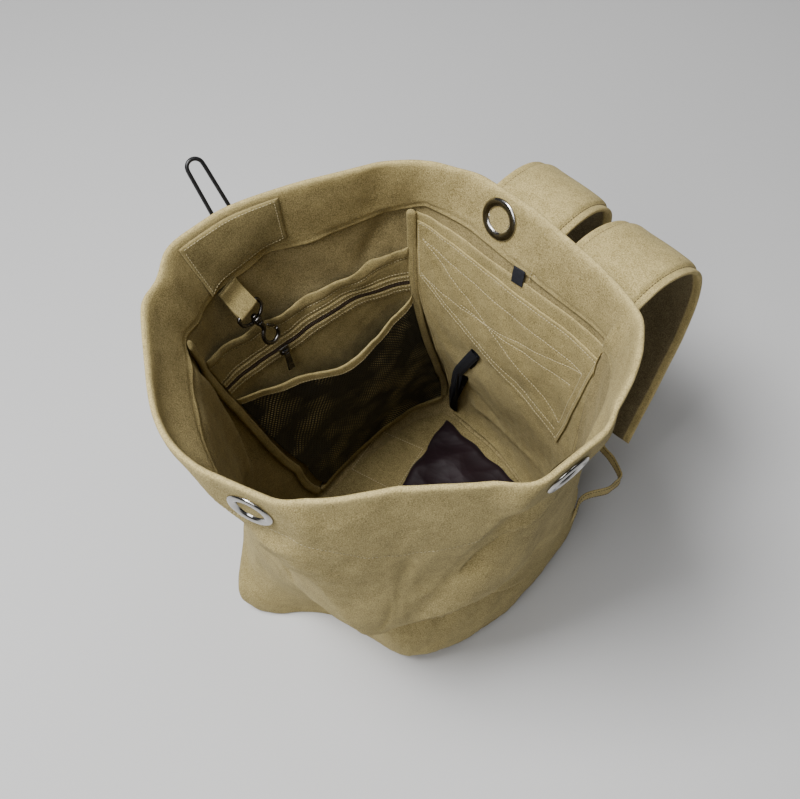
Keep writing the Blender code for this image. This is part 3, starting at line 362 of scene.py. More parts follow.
def finished(name, shape, finish, body="bag", sharp=None):
    """A piece from a shape that is in its place: welded, closed, facing outwards and smooth."""
    bmesh.ops.remove_doubles(shape, verts=shape.verts[:], dist=2e-6)
    bmesh.ops.recalc_face_normals(shape, faces=shape.faces[:])
    if shape.calc_volume(signed=True) < 0:
        bmesh.ops.reverse_faces(shape, faces=shape.faces[:])
    mesh = bpy.data.meshes.new(name)
    shape.to_mesh(mesh)
    shape.free()
    mesh.shade_smooth()
    if sharp:
        mesh.set_sharp_from_angle(angle=math.radians(sharp))
    mesh.materials.append(finish)
    piece = linked(name, mesh)
    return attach(piece, body)


def placed(name, shape, where, finish, body="bag", fill_ends=False):
    """Moves a unit sheet's points to where(u, v, w) in millimetres, which also gives each point's place on the flat
    cloth and its wear and painted shade: 1 on rubbed edges, nothing on plain cloth, and less than nothing where the
    cloth is painted darker (painted shade inside the bag, and a strap's darker backing with painted shade)."""
    mesh = bpy.data.meshes.new("flat")
    shape.to_mesh(mesh)
    flat = np.empty(len(mesh.vertices) * 3)
    mesh.vertices.foreach_get("co", flat)
    u, v, w = flat.reshape(-1, 3).T
    points, across, up, wear_and_shade = where(u, v, w)
    mesh.vertices.foreach_set("co", (points * MM).ravel())
    corner = np.empty(len(mesh.loops), int)
    mesh.loops.foreach_get("vertex_index", corner)
    layer = mesh.uv_layers.new(name="cloth")
    layer.data.foreach_set("uv", (np.stack([across, up], axis=1)[corner] * MM).ravel())
    attribute = mesh.attributes.new("wear_and_shade", "FLOAT", "POINT")
    attribute.data.foreach_set("value", np.broadcast_to(np.asarray(wear_and_shade, float), u.shape).astype(np.float32))
    shape.clear()
    shape.from_mesh(mesh)
    bpy.data.meshes.remove(mesh)
    if fill_ends:
        bmesh.ops.remove_doubles(shape, verts=shape.verts[:], dist=2e-6)
        bmesh.ops.holes_fill(shape, edges=[edge for edge in shape.edges if edge.is_boundary], sides=0)
    return finished(name, shape, finish, body)


def eased(values, edge):
    """Spreads even steps so that the outermost three at each end fall inside the rounded edge."""
    count = max(8, round(1 / max(np.min(np.diff(np.unique(np.round(values, 6)))), 1e-4)))
    keys = np.array([0, 1, 2, 3, count - 3, count - 2, count - 1, count]) / count
    places = np.array([0, 0.08 * edge, 0.36 * edge, edge, 1 - edge, 1 - 0.36 * edge, 1 - 0.08 * edge, 1])
    return np.interp(values, keys, places)


def round_edge(values, edge):
    """Share of the full thickness, one inside and nothing at either end, with a round shoulder."""
    return shoulder(np.minimum(values, 1 - values) / edge)


def sewn_sheet(name, place, flat, away, thick, finish, columns, rows, edge=1.6, raise_by=None):
    """Cloth lying on the canvas: place(u, v) gives (place, level), away(u, v, level) how deep inside it lies."""
    edge_u, edge_v = edge / flat[0], edge / flat[1]

    def where(u, v, w):
        u, v = eased(u, edge_u), eased(v, edge_v)
        full = np.minimum(round_edge(u, edge_u), round_edge(v, edge_v))
        at, level = place(u, v)
        depth = away(u, v, level) + thick * (0.5 + (w - 0.5) * full)
        if raise_by is not None:
            depth = depth + raise_by(u, v) * np.where(w > 0.5, 1.0, 0.0)
        rim = np.minimum(np.minimum(u, 1 - u) * flat[0], np.minimum(v, 1 - v) * flat[1])
        wear_and_shade = bump_of(rim, 2.2)
        return cloth_point(at, level, -depth), u * flat[0], v * flat[1], wear_and_shade

    return placed(name, unit_sheet(columns, rows), where, finish)


def carried_frames(points, side=None):
    """Sides and ups along a route, carried along without twist; a wanted side is kept where it is given."""
    tangents = unit(np.gradient(points, axis=0))
    if side is None:
        sides = [unit(np.cross(tangents[0], (0.31, 0.52, 0.79)))]
        for tangent in tangents[1:]:
            sides.append(unit(sides[-1] - tangent * (sides[-1] @ tangent)))
        sides = np.array(sides)
    else:
        sides = np.broadcast_to(np.asarray(side, float), points.shape)
        sides = unit(sides - tangents * np.sum(sides * tangents, axis=1, keepdims=True))
    return sides, np.cross(sides, tangents)


def smooth_route(points, count):
    """Points spaced along a smooth curve through the route's own points."""
    points = np.asarray(points, float)
    reach = lengths_along(points)
    return smooth_rows(reach, points, np.linspace(0, reach[-1], count))


def swept(name, points, section, around, finish, side=None, closed=False, body="bag"):
    """A bar, tube or strap along points (millimetres): section(turn, row) gives offsets to the side and up."""
    points = np.asarray(points, float)
    if closed:
        points = np.vstack([points, points[:1]])
        longer = np.vstack([points[-2], points, points[1]])
        sides, ups = [frame_part[1:-1] for frame_part in carried_frames(longer, side)]
    else:
        sides, ups = carried_frames(points, side)
    last_row = len(points) - 1
    reach = lengths_along(points)

    def where(u, v, w):
        row = np.round(v * last_row).astype(int)
        a, b, wear_and_shade = section(u * TURN, row)
        place = points[row] + sides[row] * a[:, None] + ups[row] * b[:, None]
        return place, u * TURN * np.hypot(a, b), reach[row], wear_and_shade

    return placed(name, unit_sheet(around, last_row, thick=False), where, finish, body, not closed)


def ring_section(radii):
    """Round sections, with a radius for each row of a route."""
    def section(turn, row):
        ring = radii[row % len(radii)]
        return ring * np.cos(turn), ring * np.sin(turn), 0.0

    return section


def tape_section(half, thick, rows, flat_power, fat_power, worn_width, groove=None):
    """Sections of a flat tape with soft edges and thinned ends."""
    def section(turn, row):
        end = np.clip(np.minimum(row, rows - 1 - row) / 2.0, 0.1, 1)
        flat, fat = squared_off(np.cos(turn), flat_power), squared_off(np.sin(turn), fat_power)
        deep = thick - groove(flat) if groove else thick
        return flat * half, fat * deep * end, bump_of(np.abs(flat) - 1, worn_width)

    return section


def round_bar(name, points, radii, finish, around=20, closed=False, body="bag"):
    """A round bar through points given in millimetres, with its ends rounded off."""
    points = np.asarray(points, float)
    radii = np.broadcast_to(np.asarray(radii, float), (len(points),))
    if not closed:
        head, tail = unit(points[1] - points[0]), unit(points[-2] - points[-1])
        turns = np.radians((12, 40, 65))
        start = [points[0] + head * radii[0] * (1 - math.sin(turn)) for turn in turns[::-1]]
        end = [points[-1] + tail * radii[-1] * (1 - math.sin(turn)) for turn in turns]
        points = np.vstack([start, points[0] + head * radii[0], points[1:-1], points[-1] + tail * radii[-1], end])
        radii = np.concatenate([np.cos(turns[::-1]) * radii[0], radii, np.cos(turns) * radii[-1]])
    return swept(name, points, ring_section(radii), around, finish, closed=closed, body=body)


def stamped(name, pattern, places, finish):
    """Repeats one small closed shape at many places: rows of (centre, x axis, y axis, z axis) in millimetres."""
    mesh = bpy.data.meshes.new("pattern")
    pattern.to_mesh(mesh)
    pattern.free()
    flat = np.empty(len(mesh.vertices) * 3)
    mesh.vertices.foreach_get("co", flat)
    flat = flat.reshape(-1, 3)
    shape = bmesh.new()
    for _ in range(len(places)):
        shape.from_mesh(mesh)
    bpy.data.meshes.remove(mesh)
    made = bpy.data.meshes.new(name)
    shape.to_mesh(made)
    shape.free()
    centres, axes = np.array([row[0] for row in places]), np.array([row[1:] for row in places])
    points = centres[:, None, :] + np.einsum("vk,nkc->nvc", flat, axes)
    made.vertices.foreach_set("co", (points.reshape(-1, 3) * MM).ravel())
    made.shade_smooth()
    made.materials.append(finish)
    piece = linked(name, made)
    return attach(piece, "bag")


def stitch_shape(length, thick):
    """One stitch lying along x: a small rounded grain of thread."""
    shape = bmesh.new()
    bmesh.ops.create_uvsphere(shape, u_segments=6, v_segments=5, radius=0.5)
    bmesh.ops.rotate(shape, verts=shape.verts[:], cent=(0, 0, 0), matrix=Matrix.Rotation(math.pi / 2, 3, "Y"))
    bmesh.ops.scale(shape, vec=(length, thick, thick), verts=shape.verts[:])
    return shape


def stitch_places(line, normals, pitch):
    """Where stitches go along a line of points with the cloth's normals at them."""
    reach = lengths_along(line)
    count = max(2, round(reach[-1] / pitch))
    at = (np.arange(count) + 0.5) * reach[-1] / count

    def read(rows, places):
        return np.stack([np.interp(places, reach, rows[:, k]) for k in range(3)], axis=1)

    ahead = unit(read(line, at + 0.6) - read(line, at - 0.6))
    ups = read(normals, at)
    ups = unit(ups - ahead * np.sum(ups * ahead, axis=1, keepdims=True))
    return [(centre, x, np.cross(z, x), z) for centre, x, z in zip(read(line, at), ahead, ups)]


def points_inward(at, level, depth):
    """Points inside the cloth's outer face, and the way further in at each."""
    points = cloth_point(at, level, -depth)
    return points, cloth_point(at, level, -depth - 1.0) - points


def cloth_stitches(lines):
    """Stitch places for lines of (place, level, depth inside the cloth's outer face)."""
    places = []
    for line in lines:
        steps = np.linspace(0, len(line) - 1, max(60, 14 * len(line)))
        at, level, depth = [np.interp(steps, np.arange(len(line)), column) for column in columns_of(line)]
        places += stitch_places(*points_inward(at, level, depth), STITCH_PITCH)
    return places


# ---- the canvas itself

STITCH_PITCH = 2.9
HEM_STITCH_UP = 3.2
HEM_EDGE = ((0.0, 0.895), (0.0271, 0.8975), (0.0909, 0.8925), (0.1167, 0.8775), (0.1564, 0.865), (0.1865, 0.855),
            (0.2356, 0.855), (0.2718, 0.8525), (0.3252, 0.8625), (0.383, 0.880), (0.46, 0.880), (0.535, 0.872),
            (0.565, 0.838), (0.590, 0.790), (0.62, 0.768), (0.67, 0.775), (0.705, 0.805), (0.735, 0.855), (0.80, 0.882),
            (0.8867, 0.888), (0.9384, 0.885), (0.9754, 0.889), (1.0, 0.895))
HEM_JOIN = -0.040
BASE_ROUND = 3.0
SKIN_COLUMNS = 400
RUBBED_WIDE = 6.0
# How much darker the inside walls and floor, and the hem's inner face, are made: painted shade inside the bag
INSIDE_PAINTED_SHADE = 0.50
HEM_PAINTED_SHADE = 0.16
BASE_CENTRE = np.array((-8.0, -22.0))


def hem_edge(at):
    """Height of the hem's lower edge inside the bag."""
    return straight_between(HEM_EDGE, np.mod(at, 1.0))


def off_eyelets(at, level):
    """Nothing under the eyelets' rings, one away from them."""
    clear = np.ones(len(at))
    for place, height in EYELET_PLACES.values():
        distance = np.hypot(round_from(place, at), (level - height) * TALL)
        clear = np.minimum(clear, (distance - EYELET_RING) / 9)
    return smoothstep(clear)


def hem_puff(at, level, edge):
    """How much the doubled hem swells between its rim and its stitched lower edge."""
    part = np.clip((level - edge) / (1 - edge), 0, 1)
    line = (level - edge) * TALL
    join = round_from(HEM_JOIN, at)
    seam = 1.1 * bump_of(join, 1.6) - 0.8 * bump_of(join - 5, 3.5)
    return 1.7 * np.sin(math.pi * np.clip(part * 1.02, 0, 1)) ** 0.7 \
        - 0.9 * bump_of(line - HEM_STITCH_UP, 1.6) - seam


def canvas_body(finish):
    """The tube and its base: one canvas skin from under the base, up the outside, over the rim and down inside."""
    outer_levels = np.concatenate([np.linspace(0.0, 0.04, 8), np.linspace(0.046, 0.80, 92),
                                   np.linspace(0.806, 0.9925, 30)])
    rows = [("under", 0.0, inset) for inset in (0.04, 0.35, 0.7, 0.93, 0.985)]
    for kind, steps in (("outer", outer_levels), ("rim", np.linspace(12, 168, 9)), ("hem", np.linspace(1.0, 0.02, 26)),
                        ("turn", (15, 55, 90, 130)), ("inner", np.linspace(1.0, 0.0, 66))):
        rows += [(kind, step, 1.0) for step in steps]
    rows += [("floor", 0.0, inset) for inset in (0.9, 0.3, 0.04)]
    kinds, values, insets = [np.array(column) for column in zip(*rows)]
    thick = 2 * CANVAS + GAP
    roll = thick / 2

    def where(u, v, w):
        row = np.round(v * (len(rows) - 1)).astype(int)
        kind, value, inset = kinds[row], values[row], insets[row]
        is_outer, is_rim, is_hem, is_turn, is_inner, foot = [
            kind == word for word in ("outer", "rim", "hem", "turn", "inner", "under")]
        edge = hem_edge(u)
        level, depth = np.zeros(len(u)), np.zeros(len(u))
        level[is_outer] = value[is_outer]
        over_hem = (level - edge) / (1 - edge)
        groove = 0.7 * bump_of((level - edge) * TALL - HEM_STITCH_UP, 1.8) \
            - 0.5 * np.where(level > edge, 1, 0) * np.sin(math.pi * np.clip(over_hem, 0, 1)) ** 0.6
        depth[is_outer] = (groove * off_eyelets(u, level))[is_outer]
        turn = np.radians(value)
        level[is_rim] = (1 - roll / TALL + np.sin(turn) * roll / TALL)[is_rim]
        depth[is_rim] = (roll - np.cos(turn) * roll)[is_rim]
        level[is_hem] = (edge + value * (1 - roll / TALL - edge))[is_hem]
        depth[is_hem] = thick + (hem_puff(u, level, edge) * off_eyelets(u, level))[is_hem]
        level[is_turn] = (edge - np.sin(turn) * 0.9 / TALL)[is_turn]
        depth[is_turn] = (thick - 1.0 + np.cos(turn) * 1.0)[is_turn]
        level[is_inner] = (value * (edge + 0.6 / TALL))[is_inner]
        depth[is_inner] = CANVAS
        points = cloth_point(u, level, -depth)
        points[foot, 2] = 0.0
        floor = (kind == "floor") | (is_inner & (value < 1e-6))
        points[floor, 2] = CANVAS
        low = is_outer & (level < 0.045)
        inward = BASE_ROUND * (1 - shoulder(level * TALL / 4.0))
        points[low] -= (outward(u, level) * inward[:, None])[low]
        flat = foot | floor
        points[flat, :2] = BASE_CENTRE + (points[flat, :2] - BASE_CENTRE) * inset[flat, None]
        along = np.where(is_outer | is_rim, level * TALL, np.where(foot, -inset * 100, 1000 - level * TALL))
        near_rim = np.where(is_outer | is_hem, bump_of((1 - level) * TALL, RUBBED_WIDE), 0)
        wear_and_shade = np.clip(np.where(is_rim, 1.0, 0.0) + near_rim + np.where(is_turn, 0.5, 0), 0, 1)
        # The inside walls, the floor and most of the hem's inner face go below nothing: painted shade inside the bag
        wear_and_shade = wear_and_shade - INSIDE_PAINTED_SHADE * (is_inner | floor) - HEM_PAINTED_SHADE * (is_hem & (value < 0.9))
        return points, u * AROUND, along, wear_and_shade

    shape = unit_sheet(SKIN_COLUMNS, len(rows) - 1, thick=False)
    piece = placed("canvas_skin", shape, where, finish, fill_ends=True)
    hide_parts("canvas_body", "mouth_hem")
    return piece


def hem_lines():
    """Stitch lines of the hem: inside and outside along its lower edge, and the short join at the back."""
    at = np.linspace(0, 1, 240)
    level = hem_edge(at) + HEM_STITCH_UP / TALL
    inner, outer = [list(zip(at, level, np.full(240, depth))) for depth in (2 * CANVAS + GAP - 0.7, 0.25)]
    join = [(HEM_JOIN + 0.0022, height, 2 * CANVAS + GAP + 0.9) for height in np.linspace(0.882, 0.985, 12)]
    return [inner, outer, join]


# ---- metal


def turned(name, centre, axis, along, section, finish, steps):
    """A closed section of (radius, height) pairs spun all the way round an axis (millimetres)."""
    shape = bmesh.new()
    ring = [shape.verts.new((radius, 0.0, height)) for radius, height in section]
    edges = [shape.edges.new((a, b)) for a, b in zip(ring, ring[1:] + ring[:1])]
    bmesh.ops.spin(shape, geom=ring + edges, cent=(0, 0, 0), axis=(0, 0, 1), angle=TURN, steps=steps,
                   use_merge=True)
    set_in_place(shape, centre, (along, np.cross(axis, along), axis))
    return finished(name, shape, finish)


def rounded_section(points, radius, steps):
    """Rounds the corners of a closed outline of (radius, height) points."""
    result = []
    points = [np.array(point, float) for point in points]
    for before, corner, after in zip(points[-1:] + points[:-1], points, points[1:] + points[:1]):
        first, last = before - corner, after - corner
        cut = min(radius, np.linalg.norm(first) * 0.45, np.linalg.norm(last) * 0.45)
        start, end = corner + unit(first) * cut, corner + unit(last) * cut
        for part in np.arange(steps + 1) / steps:
            result.append(tuple(start * (1 - part) ** 2 + corner * 2 * part * (1 - part) + end * part ** 2))
    return result


def eyelet(name, finish):
    """A two-part eyelet: a domed ring outside, a rolled barrel and a flatter ring inside."""
    centre, axis, along, _ = EYELET_FRAMES[name]
    hole, barrel, outer = EYELET_RADII
    outside, inside = GAP, -2 * CANVAS - 2 * GAP
    half = (outer - hole) / 2
    section = [(hole, inside - 0.9), (hole, outside + 0.9)]
    for turn in np.radians(np.arange(160, 10, -15)):
        section.append((hole + half + half * math.cos(turn), outside + 0.3 + 2.1 * math.sin(turn)))
    section += [(outer, outside + 0.3), (outer - 0.3, outside), (barrel, outside), (barrel, inside),
                (outer - 0.3, inside), (outer, inside - 0.3)]
    for turn in np.radians(np.arange(20, 165, 15)):
        section.append((hole + half + half * math.cos(turn), inside - 0.3 - 1.9 * math.sin(turn)))
    piece = turned(name + "_ring", centre, axis, along, section, finish, steps=96)
    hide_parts(name)


STAPLE_AT, STAPLE_LEVEL = 0.2508, 0.925
STAPLE_MIDDLE = np.array((-167.50, -63.55, 405.2))
STAPLE_BEND = np.array((-204.0, -64.0, 463.0))
STAPLE_FOOT_IN, STAPLE_FOOT_ROUND = 7.6, 3.0
STAPLE_HALF, STAPLE_BEND_HALF = 8.0, 6.4
STAPLE_LEAN = -6.4
STAPLE_WIRE = 1.6


def staple_route():
    """The closed wire: a foot inside the hem, two legs out through it, then up to a round bend."""
    axis = outward(np.array([STAPLE_AT]), np.array([STAPLE_LEVEL]))[0]
    side = np.array([axis[1], -axis[0], 0.0])
    middle, half, narrow = STAPLE_MIDDLE, STAPLE_HALF, STAPLE_BEND_HALF
    bend = STAPLE_BEND - side * ((STAPLE_BEND - middle) @ side)
    elbow = middle + axis * 4.5
    rise, length = unit(bend - elbow), np.linalg.norm(bend - elbow)
    route = [middle - axis * STAPLE_FOOT_IN, middle - axis * STAPLE_FOOT_IN + side * 3.0]
    for angle in np.radians((0, 22, 45, 68, 90)):
        back = STAPLE_FOOT_IN - STAPLE_FOOT_ROUND * (1 - math.cos(angle))
        route.append(middle - axis * back + side * (half - STAPLE_FOOT_ROUND * (1 - math.sin(angle))))
    route.append(middle + axis * 0.5 + side * half)
    for angle in np.radians((0, 18, 36, 54, 72, 90)):
        swing = axis * (math.sin(angle) * 2.6 + 1.4) + rise * (1 - math.cos(angle)) * 2.6
        route.append(middle + swing + side * half)
    for part in np.linspace(0.16, 0.86, 12):
        route.append(elbow + rise * length * part + side * (half + (narrow - half) * part))
    for angle in np.radians(np.linspace(4, 80, 8)):
        route.append(bend - rise * narrow * (1 - math.sin(angle)) + side * narrow * math.cos(angle))
    mirrored = [point - side * 2 * ((point - middle) @ side) for point in route[1:]]
    route = np.array([bend] + route[::-1] + mirrored)
    risen = np.maximum((route - elbow) @ rise / length, 0)
    return route + side * STAPLE_LEAN * risen[:, None]


def staple(finish):
    piece = round_bar("staple_wire", staple_route(), STAPLE_WIRE, finish, around=18, closed=True)
    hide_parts("staple")


HOOK_AT = 0.2900
HOOK_START = np.array((-143.93, -83.10, 351.02))
HOOK_DOWN = np.array((0.4198, 0.2499, -0.8726))
HOOK_ACROSS = np.array((0.1668, -0.9662, -0.1965))
HOOK_WIRE = 1.5
HOOK_RADIUS = 7.4
HOOK_RING_AT = 34.0
HOOK_PIVOT = np.array((-3.3, 24.9))


def hook_points(route):
    """Points of the hook from rows that start with how far across and how far down it they are."""
    return [HOOK_START + HOOK_ACROSS * row[0] + HOOK_DOWN * row[1] for row in route]


def snap_hook(finish):
    """The D-shaped loop with its collar, the turning hook and the sprung lever that closes it."""
    wide, tall = 12.4, 7.0
    half = [(0, 0), (4, 0), (8, 0), (wide - 2.4, 0.05), (wide - 0.9, 0.55), (wide - 0.2, 1.6), (wide, 3.2), (wide, 5.2),
            (wide - 0.3, tall), (wide - 1.5, tall + 1.8), (wide - 3.4, tall + 3.4), (6.6, 11.8), (4.0, 12.9)]
    route = [(-x, d) for x, d in half[:0:-1]] + half
    loop = round_bar("hook_frame", smooth_route(hook_points(route), 70), HOOK_WIRE, finish)
    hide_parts("hook_loop")
    section = rounded_section(((1.85, 10.6), (3.4, 10.6), (4.3, 11.5), (4.3, 12.6), (3.95, 13.0), (4.3, 13.5),
                               (4.3, 15.1), (3.5, 16.0), (1.85, 16.0)), 0.5, 3)
    turned("hook_collar", HOOK_START, HOOK_DOWN, HOOK_ACROSS, section, finish, steps=40)
    shank = ((0, 8.0, 0.6), (0, 8.05, 1.9), (0, 8.4, 2.6), (0, 9.7, 2.7), (0, 10.1, 2.3), (0, 10.3, 1.4),
             (0, 13.0, 1.4), (0, 16.3, 1.4), (0, 16.6, 2.4), (0, 16.9, 3.1), (0, 17.6, 3.35), (0, 18.6, 3.25),
             (0, 19.4, 2.7), (0, 20.5, 2.5), (0.05, 22.0, 2.5), (0.3, 23.6, 2.3), (1.3, 25.2, 1.9), (2.5, 26.2, 1.85),
             (3.8, 27.1, 1.9))
    ring = [(HOOK_RADIUS * math.cos(angle), HOOK_RING_AT - HOOK_RADIUS * math.sin(angle), 1.8)
            for angle in np.radians(np.arange(42, -181, -9))]
    end = [(-HOOK_RADIUS, HOOK_RING_AT - 0.2, 1.6), (-HOOK_RADIUS, HOOK_RING_AT - 0.4, 1.0)]
    route = [*shank, *ring, *end]
    radii = np.array([radius for _, _, radius in route])
    body = swept("snap_hook", hook_points(route), ring_section(radii), 20, finish, body="hook")
    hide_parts("hook_body")
    tip = (-HOOK_RADIUS + 0.5, HOOK_RING_AT - 2.6)
    from_pivot = ((-0.4, -0.7, 0.8), (-0.3, -0.3, 1.05), (-0.3, 0, 1.1), (-0.8, 1.3, 1.1), (-1.6, 2.6, 1.3),
                  (-2.9, 4.9, 1.25))
    lever = [(*(HOOK_PIVOT + place), radius) for *place, radius in from_pivot]
    lever += [(tip[0] - 0.1, tip[1] - 1.2, 1.15), (*tip, 1.0)]
    gate = round_bar("hook_lever", hook_points(lever), [radius for _, _, radius in lever], finish, body="gate")
    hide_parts("hook_gate")


def hook_tab(finish):
    """Folded canvas tape under the hem that carries the bar of the snap hook."""
    radius = HOOK_WIRE + 1.1
    top, middle = cloth_point([HOOK_AT, HOOK_AT], [0.854, 0.829], [-4.3, -4.6])
    normal = outward(np.array([HOOK_AT]), np.array([0.800]))[0]
    travel = unit(HOOK_START - middle)
    near = unit(normal - travel * (normal @ travel))
    route = [top, middle, HOOK_START + near * radius - travel * 3.0]
    for angle in np.radians(np.arange(0, 181, 20)):
        route.append(HOOK_START + near * radius * math.cos(angle) + travel * radius * math.sin(angle))
    route += [HOOK_START - near * radius - travel * 3.0, middle - normal * 2.4, top - normal * 2.0]
    section = tape_section(10.0, 0.65, 90, 0.45, 0.8, 0.12)
    piece = swept("hook_tab_tape", smooth_route(route, 90), section, 36, finish, side=HOOK_ACROSS)
    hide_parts("hook_tab")


# ---- the left inside panel: slip pocket, zip and net pocket

SEAM_BACK_LEFT = ((0.0, 0.1245), (0.35, 0.1215), (0.60, 0.1185), (1.0, 0.1155))
SEAM_FRONT_LEFT = ((0.0, 0.279), (0.21, 0.300), (0.38, 0.3255), (0.60, 0.358), (0.76, 0.380), (1.0, 0.388))
SLIP_TOP = ((0.0, 0.770), (0.18, 0.755), (0.31, 0.742), (0.55, 0.722), (1.0, 0.782))
ZIP_LINE = ((0.0, 0.668), (0.33, 0.668), (0.60, 0.6375), (1.0, 0.662))
NET_TOP = ((0.0, 0.612), (0.19, 0.575), (0.40, 0.530), (0.69, 0.5575), (1.0, 0.598))
POCKET_FOOT = 0.045
POCKET_CLOTH = 1.4
NET_CLOTH = 0.9
PANEL_WIDE = 215.0
ZIP_ON = POCKET_CLOTH + 0.2
SLIP_HEM = 11.6
SLIP_OFF, SLIP_GAPE = 2.7, 7.5
NET_OFF, NET_GAPE = 6.9, 22.0


def between(table, value):
    """A smooth line through a short table of (place, value) rows, held level past its ends."""
    places, values = zip(*table)
    value = np.clip(np.asarray(value, float), places[0], places[-1])
    return smooth_rows(places, np.array(values)[:, None], value)[:, 0]


def seam_back_left(level):
    return straight_between(SEAM_BACK_LEFT, level)


def seam_front_left(level):
    return straight_between(SEAM_FRONT_LEFT, level)


def left_panel_place(part, level):
    """A place on the left inside panel: part 0 at the back seam and 1 at the front seam."""
    start = seam_back_left(level) + 0.0085
    return start + (seam_front_left(level) - 0.0065 - start) * part


def arch(part):
    """Nothing at both seams, one halfway between them."""
    return np.sin(math.pi * np.clip(part, 0, 1)) ** 0.8


def slip_away(part, level):
    """How far the slip pocket's wall stands off the canvas: closed at its foot, gaping at its mouth."""
    up = np.clip((level - POCKET_FOOT) / (between(SLIP_TOP, part) - POCKET_FOOT), 0, 1.05)
    wave = (1.3 * np.sin(TURN * (2.4 * part + 0.1)) + 0.9 * np.sin(TURN * (5.2 * part + 0.3))) * arch(part) * up ** 8
    return SLIP_OFF + 1.1 * np.minimum(up / 0.1, 1) + SLIP_GAPE * arch(part) * up ** 1.5 + wave


def net_away(part, level):
    up = np.clip((level - POCKET_FOOT) / (between(NET_TOP, part) - POCKET_FOOT), 0, 1.05)
    wrinkle = 0.8 * np.sin(TURN * (3.2 * part + 1.5 * up)) * arch(part) * up
    return NET_OFF + NET_GAPE * arch(part) * up ** 1.5 + wrinkle


def panel_sheet(name, top, away, thick, finish, columns, rows, raise_by=None):
    def place(u, v):
        level = POCKET_FOOT + (between(top, u) - POCKET_FOOT) * v
        return left_panel_place(u, level), level

    height = (between(top, [0.5])[0] - POCKET_FOOT) * TALL
    return sewn_sheet(name, place, (PANEL_WIDE, height), lambda u, v, level: away(u, level), thick, finish,
                      columns, rows, 1.2, raise_by)


def panel_strip(name, table, low, high, away, thick, finish, rows=10, edge=1.2):
    """A strip that follows a line across the left panel, from low to high millimetres above it."""
    def place(u, v):
        level = between(table, u) + (low + (high - low) * v) / TALL
        return left_panel_place(u, level), level

    return sewn_sheet(name, place, (PANEL_WIDE, high - low), lambda u, v, level: away(u, level), thick, finish,
                      120, rows, edge)


def panel_line(table, lift, away, depth, count=60):
    """A line for stitches across the left panel, lift millimetres above the table's line."""
    parts = np.linspace(0, 1, count)
    levels = between(table, parts) + lift / TALL
    return list(zip(left_panel_place(parts, levels), levels, away(parts, levels) + depth))


def net_top_away(part, level):
    """How far the net stands off the canvas along its top."""
    return net_away(part, between(NET_TOP, part))


def slip_hem(u, v):
    """The slip pocket's top is turned over and puffs between its fold and its stitches."""
    drop = (1 - v) * (0.745 - POCKET_FOOT) * TALL
    fat = np.sin(math.pi * np.clip(drop / 11, 0, 1)) ** 0.5 * (drop < 11)
    ripple = 1 + 0.35 * np.sin(TURN * 6.5 * u + 1.0) + 0.25 * np.sin(TURN * 11.0 * u)
    return 0.9 * fat * ripple - 0.7 * bump_of(drop - SLIP_HEM, 1.4)


def left_pockets(canvas, binding, net, zip_cloth, zip_teeth):
    slip = panel_sheet("slip_pocket_wall", SLIP_TOP, slip_away, POCKET_CLOTH, canvas, 120, 150, raise_by=slip_hem)
    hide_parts("slip_pocket")
    tape = panel_strip("zip_tape_cloth", ZIP_LINE, -6.8, 6.8, lambda u, level: slip_away(u, level) + ZIP_ON, 0.5,
                       zip_cloth, rows=8)
    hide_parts("zip_tape")
    for name, low, high in (("zip_lip_low", -10.5, -2.7), ("zip_lip_high", 2.7, 10.5)):
        lip = panel_strip(name, ZIP_LINE, low, high, lambda u, level: slip_away(u, level) + ZIP_ON + 0.5, 0.9, canvas)
    for name, lift in (("zip_teeth_low", -0.75), ("zip_teeth_high", 0.75)):
        line = columns_of(panel_line(ZIP_LINE, lift, slip_away, ZIP_ON + 0.75, 240))
        places = stitch_places(*points_inward(*line), 1.5)
        teeth = stamped(name, rounded_cube((0.85, 1.7, 1.0), 0.18, 1), places, zip_teeth)
    net_wall = panel_sheet("net_pocket_cloth", NET_TOP, net_away, NET_CLOTH, net, 110, 100)
    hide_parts("net_pocket")
    edge = panel_strip("net_edge_binding", NET_TOP, -4.5, 6.5, lambda u, level: net_top_away(u, level) - 0.75, 2.4,
                       binding, rows=14, edge=1.9)
    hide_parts("net_binding")


def pocket_stitches():
    lines = [panel_line(ZIP_LINE, lift, slip_away, ZIP_ON + 1.3) for lift in (-9.0, -4.2, 4.2, 9.0)]
    lines += [panel_line(ZIP_LINE, lift, slip_away, POCKET_CLOTH) for lift in (12.8, -12.8)]
    lines.append(panel_line(SLIP_TOP, -SLIP_HEM, slip_away, POCKET_CLOTH - 0.3))
    lines.append(panel_line(NET_TOP, -2.6, net_top_away, 1.55))
    return lines


ZIP_CENTRE = np.array((-129.70, -62.68, 282.11))
ZIP_ALONG = np.array((-0.0303, -0.9995, 0.0090))
ZIP_DOWN = np.array((0.1894, -0.0146, -0.9818))
ZIP_OUT = np.array((0.9814, -0.0280, 0.1897))
PULL_WIDE, PULL_LONG, PULL_THICK = 6.6, 24.0, 1.6


